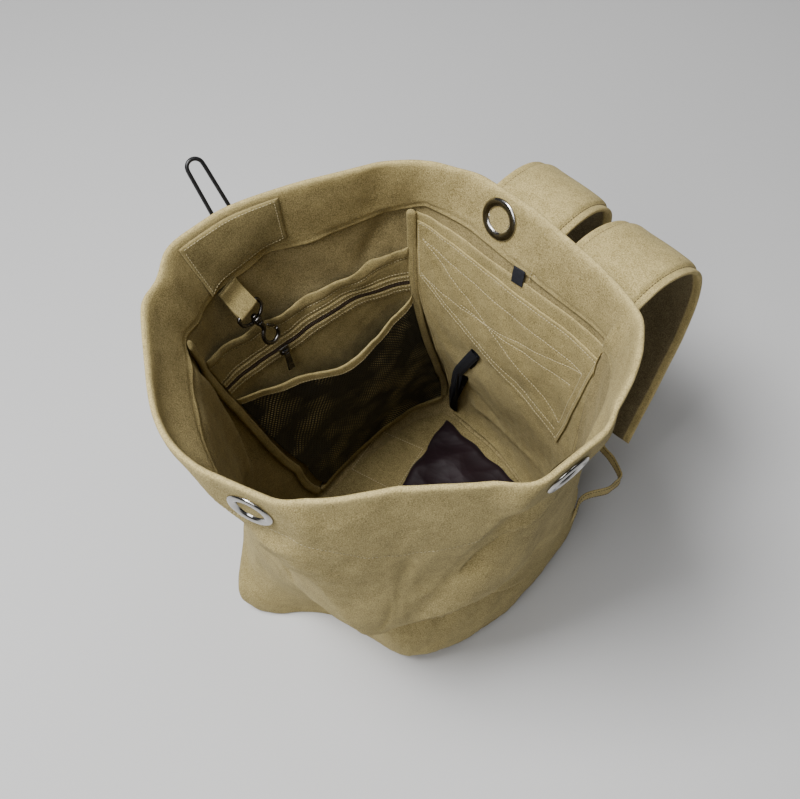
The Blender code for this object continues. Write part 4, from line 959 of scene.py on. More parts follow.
def zip_slider_and_pull(finish):
    """The slider on the teeth, the bridge over it and the flat tab that hangs from the bridge."""
    base = ZIP_CENTRE - ZIP_OUT * 4.4
    axes = (ZIP_ALONG, ZIP_DOWN, ZIP_OUT)
    shape = rounded_cube((9.5, 8.2, 2.6), 0.9, 3)
    set_in_place(shape, base + ZIP_OUT * 1.5, axes)
    body = finished("zip_slider_body", shape, finish, sharp=50)
    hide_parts("zip_slider")
    half = ((-3.2, 2.4), (-3.1, 3.0), (-2.2, 3.4), (0, 3.5))
    bridge = [base + ZIP_ALONG * a + ZIP_OUT * b for a, b in (*half, *[(-a, b) for a, b in half[2::-1]])]
    round_bar("zip_bridge", bridge, 0.6, finish, around=12)
    shape = bmesh.new()
    bmesh.ops.create_grid(shape, x_segments=6, y_segments=16, size=0.5)
    hole = [face for face in shape.faces if abs(face.calc_center_median().x) < 0.34
            and -0.46 < face.calc_center_median().y < -0.37]
    bmesh.ops.delete(shape, geom=hole, context="FACES")
    bmesh.ops.scale(shape, vec=(PULL_WIDE, PULL_LONG, 1.0), verts=shape.verts[:])
    for vert in shape.verts:
        vert.co.x *= 0.78 + 0.22 * (vert.co.y / PULL_LONG + 0.5)
    thicken(shape, PULL_THICK)
    bmesh.ops.recalc_face_normals(shape, faces=shape.faces[:])
    rim = [edge for edge in shape.edges if edge.calc_face_angle(0) > 1.2]
    bmesh.ops.bevel(shape, geom=rim, offset=0.45, segments=2, profile=0.5, affect="EDGES", material=-1)
    set_in_place(shape, ZIP_CENTRE + ZIP_DOWN * 11.3 - ZIP_OUT * PULL_THICK / 2, axes)
    pull = finished("zip_pull_tab", shape, finish, "pull", sharp=40)
    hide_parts("zip_pull")


# ---- seams, patches, divider and floor


SEAM_ROWS = 150
SEAM_IN = 2.4
SEAM_STITCH_OFF = 0.14


def seam_roll(name, at, level, width, thick, finish, replaces):
    """A bound seam allowance standing off a seam: a soft flat roll along places and levels."""
    count, depth = SEAM_ROWS, SEAM_IN
    steps = np.linspace(0, len(at) - 1, count)
    at, level = [np.interp(steps, np.arange(len(at)), column) for column in (at, level)]
    middle = depth + thick / 2
    points = cloth_point(at, level, -(middle + 0.35 * soft_noise(at, level, 10, 7.0, 21)))
    normals = cloth_point(at, level, -(middle + 1)) - points
    sides = unit(np.cross(normals, np.gradient(points, axis=0)))

    def section(turn, row):
        end = shoulder(np.minimum(row, count - 1 - row) / 2.0, 0.02)
        flat, fat = squared_off(np.cos(turn), 0.75), squared_off(np.sin(turn), 0.9)
        groove = 0.5 * bump_of(flat * width / 2 + width * SEAM_STITCH_OFF, 0.8) * (fat > 0)
        return flat * width / 2 * end, (fat * thick / 2 - groove) * end, bump_of(np.abs(flat) - 1, 0.3)

    piece = swept(name, points, section, 24, finish, side=sides)
    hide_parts(replaces)
    inner = cloth_point(at, level, -(depth + thick - 0.2))
    return stitch_places(inner[4:-4] - sides[4:-4] * (width * SEAM_STITCH_OFF), normals[4:-4], 3.2)


def seam_rolls(finish):
    levels = np.linspace(0.035, 0.876, 30)
    ends = np.linspace(seam_back_left(0.05) + 0.003, seam_front_left(0.05) - 0.003, 30)
    places = seam_roll("seam_roll_back", seam_back_left(levels) - 0.001, levels, 8.5, 4.6, finish, "seam_binding_back")
    places += seam_roll("seam_roll_front", seam_front_left(levels), levels, 8.5, 4.6, finish, "seam_binding_front")
    places += seam_roll("seam_roll_floor", ends, np.full(30, 0.033), 7.5, 4.8, finish, "seam_binding_floor")
    return places


SEWN_CLOTH = 1.4
STAPLE_PATCH_IN = 2 * CANVAS + 1.6
STAPLE_PATCH = ((0.3010, 0.990), (0.2127, 0.990), (0.2200, 0.887), (0.3120, 0.868))
BACK_PATCH = ((0.1030, 0.850), (-0.1130, 0.835), (-0.0849, 0.4875), (0.1020, 0.705))
BACK_PATCH_SIZE = (200.0, 150.0)
PATCH_LIES = 2.0
GROOVE = 0.35
ELASTIC_ROUTE = ((0.018, 0.558, 8.3), (0.040, 0.448, 10.3), (0.062, 0.335, 13.5), (0.076, 0.22, 17.4),
                 (0.0845, 0.13, 19.2), (0.083, 0.055, 20.2))
SLEEVE_END = -0.115
SLEEVE_FREE_EDGE = ((0.0, 0.0845), (0.22, 0.0915), (0.50, 0.098), (0.65, 0.108), (0.87, 0.112))
SLEEVE_SITS = ((0.0, 17.0), (0.13, 16.0), (0.33, 10.0), (0.66, 4.0), (0.84, 2.6))


def four_sided(corners, u, v):
    """Places inside four corners, v 0 along the top and 1 along the foot."""
    top_left, top_right, low_right, low_left = [np.array(corner) for corner in corners]
    top = top_left + (top_right - top_left) * u[:, None]
    low = low_left + (low_right - low_left) * u[:, None]
    return (top + (low - top) * v[:, None]).T


def staple_patch(finish):
    """The puffed patch inside the hem over the staple's foot."""
    def away(u, v):
        swell = (np.sin(math.pi * u) * np.sin(math.pi * v)) ** 0.4
        lumps = 0.55 * np.sin(TURN * (1.3 * u + 0.15)) * np.cos(TURN * (0.9 * v - 0.3 * u))
        return STAPLE_PATCH_IN + 0.9 * (4.2 * swell + lumps * swell)

    piece = sewn_sheet("staple_cover", lambda u, v: four_sided(STAPLE_PATCH, u, v), (83.0, 55.0),
                       lambda u, v, level: away(u, v), SEWN_CLOTH, finish, 70, 46, edge=1.5)
    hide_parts("staple_patch")
    around = ((0.035, 0.04), (0.965, 0.04), (0.965, 0.95), (0.035, 0.95), (0.035, 0.04))
    u, v = [np.interp(np.arange(64) / 16, np.arange(5), column) for column in zip(*around)]
    return list(zip(*four_sided(STAPLE_PATCH, u, v), away(u, v) + 1.35))


def sleeve_away(level):
    return between(SLEEVE_SITS, level)


def free_edge(level):
    """Where the divider's free edge is at each height."""
    return between(SLEEVE_FREE_EDGE, level)


def back_divider(canvas, black):
    """The divider over the back panel, its four-sided patch, the short tab and the elastic strap."""
    def place(u, v):
        level = 0.035 + (0.868 - 0.035) * v
        edge = free_edge(level)
        return edge + (SLEEVE_END - edge) * u, level

    sleeve = sewn_sheet("divider", place, (214.0, 350.0), lambda u, v, level: sleeve_away(level), SEWN_CLOTH,
                        canvas, 110, 150)
    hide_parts("back_sleeve")
    patch = sewn_sheet("divider_patch", lambda u, v: four_sided(BACK_PATCH, u, v), BACK_PATCH_SIZE,
                       lambda u, v, level: sleeve_away(level) + PATCH_LIES - patch_groove(u, v), SEWN_CLOTH, canvas,
                       150, 110, edge=1.3)
    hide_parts("back_patch")
    tab = sewn_sheet("hem_tab_tape", lambda u, v: (-0.0243 - 0.0095 * u, 0.893 - 0.035 * v + 0.002 * u), (11.0, 17.5),
                     lambda u, v, level: 2 * CANVAS + 1.6 - 1.2 * v, 1.0, black, 16, 24, edge=0.5)
    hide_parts("hem_tab")
    at, level, depth = columns_of(ELASTIC_ROUTE)
    points = smooth_route(cloth_point(at, level, -depth), 60)

    def section(turn, row):
        flat = squared_off(np.cos(turn), 0.5)
        ribs = 0.22 * np.cos(flat * 12.0)
        return flat * 5.6, np.sin(turn) * 1.05 + ribs * np.sign(np.sin(turn)), 0.0

    facing = np.cross(np.gradient(points, axis=0), (0.0, -1.0, 0.0))
    strap = swept("elastic_strap", points, section, 36, black, side=facing)
    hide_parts("sleeve_strap")


PATCH_LINES = (
    ((0.015, 0.03), (0.985, 0.03)), ((0.985, 0.03), (0.985, 0.97)), ((0.985, 0.97), (0.015, 0.97)),
    ((0.015, 0.97), (0.015, 0.03)), ((0.05, 0.25), (0.955, 0.19)), ((0.955, 0.19), (0.96, 0.80)),
    ((0.03, 0.885), (0.96, 0.90)), ((0.05, 0.25), (0.96, 0.80)), ((0.03, 0.93), (0.955, 0.19)),
    ((0.36, 0.62), (0.93, 0.36)),
)


def patch_groove(u, v):
    """Stitch lines press a little way into the divider's patch."""
    wide, high = BACK_PATCH_SIZE
    depth = np.zeros(len(u))
    for (u0, v0), (u1, v1) in PATCH_LINES:
        _, distance = nearest_on((u - u0) * wide, (v - v0) * high, (u1 - u0) * wide, (v1 - v0) * high)
        depth = np.maximum(depth, GROOVE * bump_of(distance, 1.5))
    return depth


def patch_stitches():
    lines = []
    for (u0, v0), (u1, v1) in PATCH_LINES:
        at, level = four_sided(BACK_PATCH, np.linspace(u0, u1, 40), np.linspace(v0, v1, 40))
        lines.append(list(zip(at, level, sleeve_away(level) + PATCH_LIES - GROOVE + 1.6)))
    return lines


def divider_stitches():
    level = np.linspace(0.045, 0.86, 60)
    return [list(zip(at, level, sleeve_away(level) + 1.45))
            for at in (free_edge(level) - 0.004, np.full(60, SLEEVE_END + 0.004))]


FLOOR_PATCH = np.array(((-124.8, 40.6), (-74.8, 58.0), (-60.3, -1.0), (-113.3, -15.9)))
FLOOR_CENTRE = np.array((0.0, -20.0))
FLOOR_REACH, FLOOR_FLAT = 0.93, 0.92
LINING_CORNERS = ((-84, 104), (46, 101), (26, 36), (-60, 4))


def inside_patch(flat):
    """How far (mm) each floor point is inside the rectangle stitched near the left side, less than nothing outside."""
    offset = flat - FLOOR_PATCH.mean(axis=0)
    ways = [FLOOR_PATCH[k] - FLOOR_PATCH[0] for k in (1, 3)]
    return np.min([np.linalg.norm(way) / 2 - np.abs(offset @ unit(way)) for way in ways], axis=0)


def floor_stitches():
    sides = [np.linspace(start, end, 40) for start, end in zip(FLOOR_PATCH, np.roll(FLOOR_PATCH, -1, axis=0))]
    line = np.column_stack([np.concatenate(sides), np.full(160, CANVAS + GAP + 4.3)])
    return stitch_places(line, np.tile([0.0, 0.0, 1.0], (160, 1)), STITCH_PITCH)


def floor_panel(finish):
    """The canvas over the bottom of the bag, a little uneven, with a folded piece stitched on."""
    def where(u, v, w):
        edge = FLOOR_REACH + 0.01 * np.sqrt(np.clip(1 - ((w - 0.5) * 2) ** 2, 0, 1))
        size = np.where(v > FLOOR_FLAT, edge, FLOOR_REACH * v / FLOOR_FLAT)
        size = np.maximum(size, 0.02)
        outline = cloth_point(u, np.zeros(len(u)), -CANVAS)[:, :2]
        flat = FLOOR_CENTRE + (outline - FLOOR_CENTRE) * size[:, None]
        wave = 0.5 + 0.5 * soft_noise(u, size, 5, 2.0, 31) * np.minimum(size * 2, 1) * 0.5
        inward = inside_patch(flat)
        folded = np.clip((inward + 9.0) / 3.0, 0, 1) ** 0.5 * 2.4 - 0.8 * bump_of(inward, 1.6)
        high = CANVAS + GAP + w * SEWN_CLOTH + w * (wave * 0.5 + folded) * (size < 0.9)
        return np.column_stack([flat, high]), flat[:, 0], flat[:, 1], (v > 0.95) * 0.5

    piece = placed("floor_cloth", unit_sheet(240, 80), where, finish, fill_ends=True)
    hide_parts("floor_panel")


def crushed(x, y, seed, count=16):
    """Sharp random creases between flat facets, as crushed thin cloth has, from 0 to 1."""
    random = np.random.default_rng(seed)
    total = np.zeros(len(x))
    for _ in range(count):
        angle = random.uniform(0, TURN)
        size = random.uniform(26, 70)
        phase = random.random()
        bend = 0.35 * np.sin((x * math.sin(angle) - y * math.cos(angle)) / size * 2.1 + phase * 9)
        run = (x * math.cos(angle) + y * math.sin(angle)) / size + phase + bend
        total += np.sqrt(0.02 + ((run % 1.0) - 0.5) ** 2) * 2 * size / 30
    total = total - total.min()
    return total / total.max()


def floor_lining(finish):
    """Thin lining cloth lying crushed in the back corner of the floor."""
    under = CANVAS + 2 * GAP + SEWN_CLOTH

    def where(u, v, w):
        flat = four_sided(LINING_CORNERS, u, 1 - v).T
        edge = np.minimum(np.minimum(u, 1 - u), np.minimum(v, 1 - v)) / 0.10
        height = under + 0.7 + shoulder(edge) * (1.6 + 8.5 * crushed(*flat.T, 41))
        thin = 0.5 * (w > 0.5) * (edge > 0)
        flat = flat + 1.2 * np.column_stack([np.sin(flat[:, 1] / 7), np.cos(flat[:, 0] / 6)])
        return np.column_stack([flat, height + thin - 0.5]), u * 110, v * 90, 0.0

    piece = placed("lining_cloth", unit_sheet(120, 110), where, finish)
    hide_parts("floor_lining")
    return piece


# ---- shoulder straps

BACK_CENTRE_X = 5.0
STRAP_BOUND_EDGE = 6.5
STRAP_ROWS = 150
STRAP_OFFSET_X = 42.0
STRAP_TOP_IN = {-1: 1.9, 1: 7.0}
STRAP_WIDTH = 76.0
STRAP_THICK = 12.0
STRAP_ROUTE = (
    (0, 90, 338), (0, 92, 352), (0, 103, 367), (1, 122, 375),
    (2, 152, 377), (4, 183, 366), (6, 211, 338), (9, 220, 296),
    (12, 214, 250), (15, 199, 208), (19, 178, 165), (22, 160, 124),
)
LOWER_WEBBING_ROUTE = (
    (22, 159.2, 122.6), (23.5, 156.2, 114.4), (32, 154, 101), (53, 154, 91),
    (71, 144, 92), (74, 124, 101),
)
LOWER_WEBBING_LEVEL = 0.25
LOWER_WEBBING_SEWN = {-1: (0.134, 0.145, 0.156), 1: (0.868, 0.857, 0.846)}


def strap_points(route, side, top_in=0.0):
    centre = BACK_CENTRE_X + side * STRAP_OFFSET_X
    return [(centre + side * x, y - top_in * max(0.0, 1 - k / 3), z) for k, (x, y, z) in enumerate(route)]


def edge_stitches(points, sides, ups, from_middle, rises):
    """Stitches along both edges of a strap, lifted by each of the given heights."""
    places = []
    for side in (-1, 1):
        for rise in rises:
            places += stitch_places(points + sides * side * from_middle + ups * rise, ups, 3.4)
    return places


def shoulder_strap(name, replaces, side, finish):
    """A padded strap with a flat bound edge and a line of stitches inside it."""
    count = STRAP_ROWS
    points = smooth_route(strap_points(STRAP_ROUTE, side, STRAP_TOP_IN[side]), count)
    half, edge, deep = STRAP_WIDTH / 2, STRAP_BOUND_EDGE, STRAP_THICK / 2

    def section(turn, row):
        share = row / (count - 1)
        end = shoulder(np.minimum(row, count - 1 - row) / 4.0, 0.015)
        flat = squared_off(np.cos(turn), 0.42)
        wide = half - 0.4 * np.abs(np.sin(TURN * share * 3.0))
        across = flat * wide
        from_edge = half - np.abs(across)
        inside = np.clip((from_edge - edge) / 9.0, 0, 1)
        pad = deep * (0.38 + 0.60 * shoulder(inside))
        pad = pad - 0.5 * bump_of(from_edge - edge, 1.6)
        pad = pad * (0.93 + 0.05 * np.sin(TURN * (share * 5.5 + 0.02 * across)) * inside)
        up = np.sign(np.sin(turn)) * pad * shoulder(from_edge / 2.2) * end
        # The underside inside the bound edges is darker: partly the strap's darker backing, partly painted shade
        under = np.where((np.sin(turn) < 0.0) & (from_edge > edge), 1.0, 0.0)
        wear_and_shade = bump_of(from_edge, 2.0) * 0.8 * (1 - under) - under
        return across, up, wear_and_shade

    strap = swept(name, points, section, 96, finish, side=(1, 0, 0))
    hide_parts(replaces)
    points, sides, ups = [rows[5:-5] for rows in (points, *carried_frames(points, (1, 0, 0)))]
    return edge_stitches(points, sides, ups, half - edge, [deep * 0.32])


def lower_webbing(name, replaces, side, finish):
    """Folded canvas webbing that loops from the strap's end to the side of the bag."""
    count = 110
    sewn = LOWER_WEBBING_SEWN[side]
    above, below = cloth_point([sewn[1]] * 2, [LOWER_WEBBING_LEVEL + 0.03, LOWER_WEBBING_LEVEL - 0.03], 0)
    wall = cloth_point(sewn, LOWER_WEBBING_LEVEL, 2.6)
    points = smooth_route(np.vstack([strap_points(LOWER_WEBBING_ROUTE, side), wall]), count)
    turn = smoothstep(np.arange(count) / count * 2.2)[:, None]
    wanted = np.array((1.0, 0.0, 0.0)) * (1 - turn) + unit(above - below) * side * turn
    section = tape_section(9.9, 1.2, count, 0.45, 0.8, 0.15, lambda flat: 0.25 * bump_of(np.abs(flat) - 0.72, 0.08))
    webbing = swept(name, points, section, 40, finish, side=wanted)
    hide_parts(replaces)
    points, sides, ups = [rows[3:-3] for rows in (points, *carried_frames(points, wanted))]
    return edge_stitches(points, sides, ups, 7.1, (-1.02, 1.02))


YOKE_ENDS = (-0.098, 0.092)
YOKE_LEVELS = (0.745, 0.835)
YOKE_SIZE = (180.0, 39.6)
YOKE_OUT, YOKE_CLOTH = 2.5, 2.0


def strap_yoke(finish):
    """The plain piece across the back that holds both straps, and its stitch lines."""
    def place(u, v):
        (start, end), (low, high) = YOKE_ENDS, YOKE_LEVELS
        return start + (end - start) * u, low + (high - low) * v

    yoke = sewn_sheet("yoke_cloth", place, YOKE_SIZE, lambda u, v, level: -YOKE_OUT, YOKE_CLOTH, finish, 110, 40)
    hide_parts("strap_yoke")
    corners = ((0.02, 0.08), (0.98, 0.08), (0.98, 0.92), (0.02, 0.92))
    return [list(zip(*place(*np.linspace(start, end, 40).T), np.full(40, -YOKE_OUT - 0.05)))
            for start, end in zip(corners, corners[1:] + corners[:1])]


# ---- finishes


def feed(tree, slot, value):
    """Links a Value to a node's input, or sets the input to a plain value."""
    if isinstance(value, Value):
        tree.links.new(value.socket, slot)
    else:
        slot.default_value = value


def named_inputs(made, given):
    """Inputs of a node with their values, from keywords that have _ for a space."""
    return [(made.inputs[key.replace("_", " ")], value) for key, value in given.items()]


class Value:
    """A shader value: sums and products of two make maths nodes; node() makes any other kind."""

    def __init__(self, tree, socket):
        self.tree, self.socket = tree, socket

    def maths(self, kind, first, second=0.0):
        made = self.tree.nodes.new("ShaderNodeMath")
        made.operation = kind
        for slot, value in zip(made.inputs, (first, second)):
            feed(self.tree, slot, value)
        return Value(self.tree, made.outputs[0])

    def __add__(self, other):
        return self.maths("ADD", self, other)

    def __radd__(self, other):
        return self.maths("ADD", other, self)

    def __sub__(self, other):
        return self.maths("SUBTRACT", self, other)

    def __rsub__(self, other):
        return self.maths("SUBTRACT", other, self)

    def __mul__(self, other):
        return self.maths("MULTIPLY", self, other)

    def __rmul__(self, other):
        return self.maths("MULTIPLY", other, self)

    def __truediv__(self, other):
        return self.maths("DIVIDE", self, other)

    def __rtruediv__(self, other):
        return self.maths("DIVIDE", other, self)

    def kept(self, low=0.0, high=1.0):
        return self.maths("MINIMUM", self.maths("MAXIMUM", self, low), high)

    def node(self, kind, out=0, settings=None, **given):
        """Any other node fed by this value's tree: keyword arguments name its inputs."""
        made = self.tree.nodes.new(kind)
        for key, value in (settings or {}).items():
            setattr(made, key, value)
        for slot, value in named_inputs(made, given):
            feed(self.tree, slot, value)
        return Value(self.tree, made.outputs[out])


def new_finish(name):
    """An empty material: its shader and its coordinates in metres, as Values."""
    made = bpy.data.materials.new(name)
    made.use_nodes = True
    tree = made.node_tree
    shader = tree.nodes["Principled BSDF"]
    place = tree.nodes.new("ShaderNodeTexCoord")
    return made, shader, Value(tree, place.outputs["Object"]), Value(tree, place.outputs["UV"])


def set_inputs(shader, **given):
    for slot, value in named_inputs(shader, given):
        feed(shader.id_data, slot, value)


def mixed(factor, first, second):
    """A colour between two others."""
    made = factor.tree.nodes.new("ShaderNodeMix")
    made.data_type = "RGBA"
    colours = [colour if isinstance(colour, Value) else (*colour, 1.0) for colour in (first, second)]
    for k, value in zip((0, 6, 7), (factor, *colours)):
        feed(factor.tree, made.inputs[k], value)
    return Value(factor.tree, made.outputs[2])


def shades(factor, colour, dark, light):
    """A colour between a darker and a lighter shade of it."""
    return mixed(factor, *[[part * share for part in colour] for share in (dark, light)])


def noise(place, scale, detail=2.0, roughness=0.5):
    return place.node("ShaderNodeTexNoise", Vector=place, Scale=scale, Detail=detail, Roughness=roughness)


def stretched(place, along, across):
    """Coordinates squeezed so that noise turns into threads."""
    return place.node("ShaderNodeMapping", Vector=place, Scale=(along, across, 1.0))


CANVAS_SHADES = ((0.150, 0.115, 0.042), (0.530, 0.425, 0.190))
# Darker shades for the inside of the bag, which is painted shade, and for a strap's underside, its darker backing with
# painted shade
BACKING_AND_PAINTED_SHADE_COLOURS = ((0.045, 0.034, 0.015), (0.250, 0.197, 0.105))


def canvas_finish(name, tint=1.0, under=False):
    """Brushed cotton canvas: heathered threads, soft mottling and paler rubbed edges; with under, darker where the
    attribute is below nothing: painted shade inside the bag, and a strap's darker backing with painted shade.
    """
    made, shader, place, flat = new_finish(name)
    warp = noise(stretched(flat, 1100.0, 260.0), 1.0, 2.0, 0.6)
    weft = noise(stretched(flat, 260.0, 1100.0), 1.0, 2.0, 0.6)
    grain = noise(place, 1150.0, 2.0, 0.75)
    mottle = noise(place, 75.0, 4.0, 0.6)
    broad = noise(place, 15.0, 3.0, 0.55)
    threads = (warp + weft) * 0.5
    wear_and_shade = place.node("ShaderNodeAttribute", out=2, settings={"attribute_name": "wear_and_shade"})
    shade = (threads - 0.5) * 1.6 + (grain - 0.5) * 3.9 + (mottle - 0.5) * 0.9 + (broad - 0.5) * 0.6
    lift = wear_and_shade.kept() * 0.20
    heather = (0.48 + shade * 0.62 + lift).kept()
    colour = mixed(heather, *[[part * tint for part in shade] for shade in CANVAS_SHADES])
    # Painted shade, with a strap's darker backing, where the attribute is below nothing
    if under:
        colour = mixed((wear_and_shade * -1.0).kept(), colour, mixed(heather, *BACKING_AND_PAINTED_SHADE_COLOURS))
    height = threads * 0.6 + grain * 0.45 + mottle * 0.5
    bump = place.node("ShaderNodeBump", Strength=0.7, Distance=0.0012, Height=height)
    set_inputs(shader, Base_Color=colour, Roughness=(0.88 + (grain - 0.5) * 0.2).kept(0.6, 1.0), Normal=bump,
               Sheen_Weight=0.12, Sheen_Roughness=0.5, Sheen_Tint=(0.9, 0.8, 0.5, 1.0), Specular_IOR_Level=0.12)
    return made


def thread_finish(name, colour):
    made, shader, place, _ = new_finish(name)
    twist = noise(place, 1800.0)
    set_inputs(shader, Base_Color=shades(twist.kept(), colour, 0.7, 1.2), Roughness=0.7, Specular_IOR_Level=0.3)
    return made


def woven_finish(name, colour, roughness=0.75, specular=0.3):
    """Plain woven tape: fine ribs both ways."""
    made, shader, place, flat = new_finish(name)
    across = noise(stretched(flat, 900.0, 225.0), 1.0, 1.0)
    along = noise(stretched(flat, 225.0, 900.0), 1.0, 1.0)
    fuzz = noise(place, 1400.0)
    weave = (across + along) * 0.5
    bright = (0.5 + (weave - 0.5) * 1.2 + (fuzz - 0.5) * 0.8).kept()
    bump = place.node("ShaderNodeBump", Strength=0.6, Distance=0.0008, Height=weave + fuzz * 0.4)
    set_inputs(shader, Base_Color=shades(bright, colour, 0.55, 1.6), Normal=bump,
               Roughness=(roughness + (fuzz - 0.5) * 0.2).kept(), Specular_IOR_Level=specular)
    return made


NET_HOLES = (0.0034, 0.0030)


def net_finish(name):
    """Black knitted net: round holes in offset rows, only partly cut out of the cloth and painted with lit canvas:
    painted light.
    """
    made, shader, place, flat = new_finish(name)
    x, y = [flat.node("ShaderNodeSeparateXYZ", out=k, Vector=flat) / size for k, size in enumerate(NET_HOLES)]
    shift = y.maths("FLOOR", y) * 0.5
    a, b = [across.maths("FRACT", across) - 0.5 for across in (x + shift, y)]
    distance = flat.maths("POWER", a * a * 1.25 + b * b, 0.5)
    solid = ((distance - 0.26) * 12.0 + 0.5).kept()
    fuzz = noise(place, 1600.0)
    bump = place.node("ShaderNodeBump", Strength=0.5, Distance=0.0008, Height=solid + fuzz * 0.4)
    thread = mixed(fuzz.kept(), (0.003, 0.003, 0.004), (0.016, 0.016, 0.018))
    # The holes show a painted colour of lit canvas: painted light
    patchy = ((noise(place, 26.0) - 0.45) * 5.0).kept()
    painted_light_in_holes = mixed(patchy, (0.060, 0.051, 0.030), (0.760, 0.650, 0.350))
    set_inputs(shader, Base_Color=mixed(solid, painted_light_in_holes, thread), Roughness=0.6, Alpha=(solid + 0.7).kept(), Normal=bump,
               Specular_IOR_Level=0.35)
    return made


def lining_finish(name):
    """Thin shiny lining, dark as wine, finely ribbed."""
    made, shader, place, flat = new_finish(name)
    rib = noise(stretched(flat, 900.0, 900.0), 1.0, 1.0)
    broad = noise(place, 45.0, 3.0)
    bump = place.node("ShaderNodeBump", Strength=0.3, Distance=0.0005, Height=rib)
    set_inputs(shader, Base_Color=mixed(broad.kept(), (0.006, 0.002, 0.003), (0.017, 0.007, 0.010)),
               Roughness=(0.60 + (rib - 0.5) * 0.25).kept(), Normal=bump, Sheen_Weight=0.05, Specular_IOR_Level=0.22)
    return made


def metal_finish(name, colour, roughness, wear):
    """Plated metal with faint rubbing marks."""
    made, shader, place, _ = new_finish(name)
    smear = noise(place, 160.0, 3.0)
    fine = noise(place, 900.0)
    bump = place.node("ShaderNodeBump", Strength=0.12, Distance=0.0004, Height=fine + smear)
    set_inputs(shader, Base_Color=shades(((smear - 0.45) * 3.0).kept(), colour, 1.0, wear), Normal=bump, Metallic=1.0,
               Roughness=(roughness + (smear - 0.5) * 0.22 + (fine - 0.5) * 0.1).kept(0.05, 0.9))
    return made


def black_wire_finish(name):
    made, shader, place, _ = new_finish(name)
    chips = noise(place, 420.0, 3.0)
    bump = place.node("ShaderNodeBump", Strength=0.3, Distance=0.0004, Height=chips)
    set_inputs(shader, Base_Color=mixed(((chips - 0.62) * 4.0).kept(), (0.010, 0.010, 0.011), (0.06, 0.055, 0.05)),
               Roughness=(0.38 + (chips - 0.5) * 0.3).kept(), Normal=bump)
    return made


def floor_finish(name):
    made, shader, place, _ = new_finish(name)
    soft = noise(place, 3.0)
    set_inputs(shader, Base_Color=mixed(soft.kept(), [0.60] * 3, [0.63] * 3), Roughness=0.9, Specular_IOR_Level=0.1)
    return made


# ---- studio

SURROUND = 0.035
LAMPS_AIM = Vector((0, -0.02, 0.25))
LAMPS = (("key", (-0.36, -0.66, 2.05), 0.7, 62.0), ("front", (0.30, -1.20, 1.60), 0.9, 14.0),
         ("top", (0.15, 0.40, 2.20), 1.0, 8.0))
CAMERA_AT = (0.271, -0.3245, 1.01)
CAMERA_BACK = Vector((0.35355, -0.35355, 0.86603)).normalized()
CAMERA_RIGHT = Vector((0.70711, 0.70711, 0.0))

def studio(floor_look):
    """A wide pale floor, a dim white surround and three soft lamps."""
    shape = bmesh.new()
    bmesh.ops.create_grid(shape, x_segments=2, y_segments=2, size=6.0)
    mesh = bpy.data.meshes.new("studio_floor")
    shape.to_mesh(mesh)
    shape.free()
    mesh.materials.append(floor_look)
    floor = linked("studio_floor", mesh)
    floor.location = (0, 0, -0.0005)
    world = bpy.data.worlds.new("studio")
    world.use_nodes = True
    set_inputs(world.node_tree.nodes["Background"], Color=(1, 1, 1, 1), Strength=SURROUND)
    bpy.context.scene.world = world
    for name, place, size, power in LAMPS:
        lamp = bpy.data.lights.new(name, "AREA")
        lamp.shape, lamp.size, lamp.energy = "SQUARE", size, power
        made = linked(name, lamp)
        made.location = place
        made.rotation_euler = (LAMPS_AIM - Vector(place)).to_track_quat("-Z", "Y").to_euler()


def photo_camera():
    """Looks down at the mouth from the front right corner, as the photo does."""
    view = bpy.data.cameras.new("photo_camera")
    view.lens, view.sensor_width = 45.0, 36.0
    view.clip_start, view.clip_end = 0.05, 30.0
    camera = linked("photo_camera", view)
    turn = Matrix((CAMERA_RIGHT, CAMERA_BACK.cross(CAMERA_RIGHT), CAMERA_BACK)).transposed().to_4x4()
    camera.matrix_world = Matrix.Translation(CAMERA_AT) @ turn
    bpy.context.scene.camera = camera


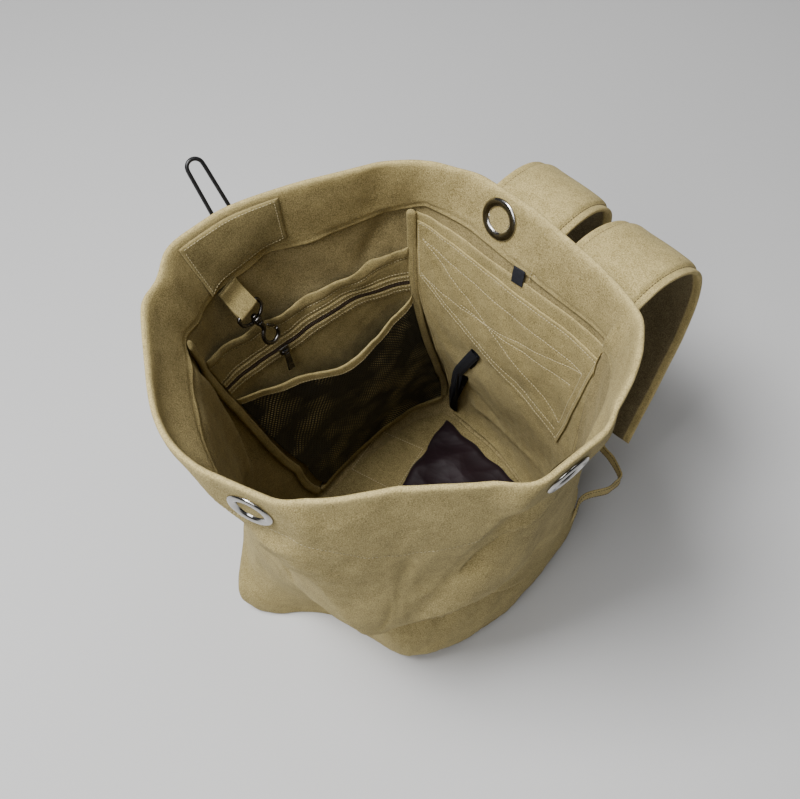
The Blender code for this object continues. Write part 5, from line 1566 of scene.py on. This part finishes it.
def build():
    canvas = canvas_finish("olive_canvas", tint=1.05, under=True)
    # Darker copies of the one canvas for the pocket wall, staple cover, zip lips, divider and floor: painted shade
    # inside the bag
    shaded_pocket_canvas = canvas_finish("shaded_pocket_canvas", tint=0.68)
    shaded_divider_canvas = canvas_finish("shaded_divider_canvas", tint=0.88)
    shaded_floor_canvas = canvas_finish("shaded_floor_canvas", tint=0.66)
    trim = canvas_finish("olive_binding", tint=0.80)
    # A lighter copy of the one canvas for the straps, yoke and webbing: painted light
    lit_strap_cloth = canvas_finish("strap_canvas", tint=1.36, under=True)
    nickel = metal_finish("nickel", (0.46, 0.45, 0.43), 0.20, 0.9)
    gunmetal = metal_finish("gunmetal", (0.075, 0.070, 0.068), 0.26, 1.9)
    wire = black_wire_finish("black_wire")
    black = woven_finish("black_webbing", (0.014, 0.015, 0.020))
    zip_cloth = woven_finish("brown_zip_tape", (0.040, 0.026, 0.018))
    zip_teeth = woven_finish("brown_zip_teeth", (0.060, 0.040, 0.028), roughness=0.4, specular=0.5)
    net = net_finish("black_net")
    wine = lining_finish("wine_lining")
    light_thread = thread_finish("light_thread", (0.47, 0.40, 0.23))
    dark_thread = thread_finish("olive_thread", (0.20, 0.155, 0.075))
    strap_thread = thread_finish("strap_thread", (0.085, 0.066, 0.034))

    skin = canvas_body(canvas)
    for name in EYELET_PLACES:
        eyelet(name, nickel)
    staple(wire)
    snap_hook(gunmetal)
    hook_tab(trim)
    patch_line = staple_patch(shaded_pocket_canvas)
    left_pockets(shaded_pocket_canvas, trim, net, zip_cloth, zip_teeth)
    zip_slider_and_pull(gunmetal)
    roll_places = seam_rolls(trim)
    back_divider(shaded_divider_canvas, black)
    floor_panel(shaded_floor_canvas)
    lining = floor_lining(wine)
    yoke_lines = strap_yoke(lit_strap_cloth)
    strap_places = []
    for side, word in ((-1, "left"), (1, "right")):
        strap_places += shoulder_strap("padded_strap_" + word, "shoulder_strap_" + word, side, lit_strap_cloth)
        strap_places += lower_webbing("webbing_" + word, "lower_webbing_" + word, side, lit_strap_cloth)

    light_lines = hem_lines() + pocket_stitches() + patch_stitches() + [patch_line]
    dark_lines = yoke_lines + divider_stitches()
    for name, length, thick, places, thread in (
            ("light_stitches", 2.1, 0.85, cloth_stitches(light_lines) + floor_stitches(), light_thread),
            ("seam_stitches", 2.1, 0.8, cloth_stitches(dark_lines) + roll_places, dark_thread),
            ("strap_stitches", 2.6, 0.9, strap_places, strap_thread)):
        stamped(name, stitch_shape(length, thick), places, thread)
    return lining


build()
photo_camera()
studio(floor_finish("pale_floor"))
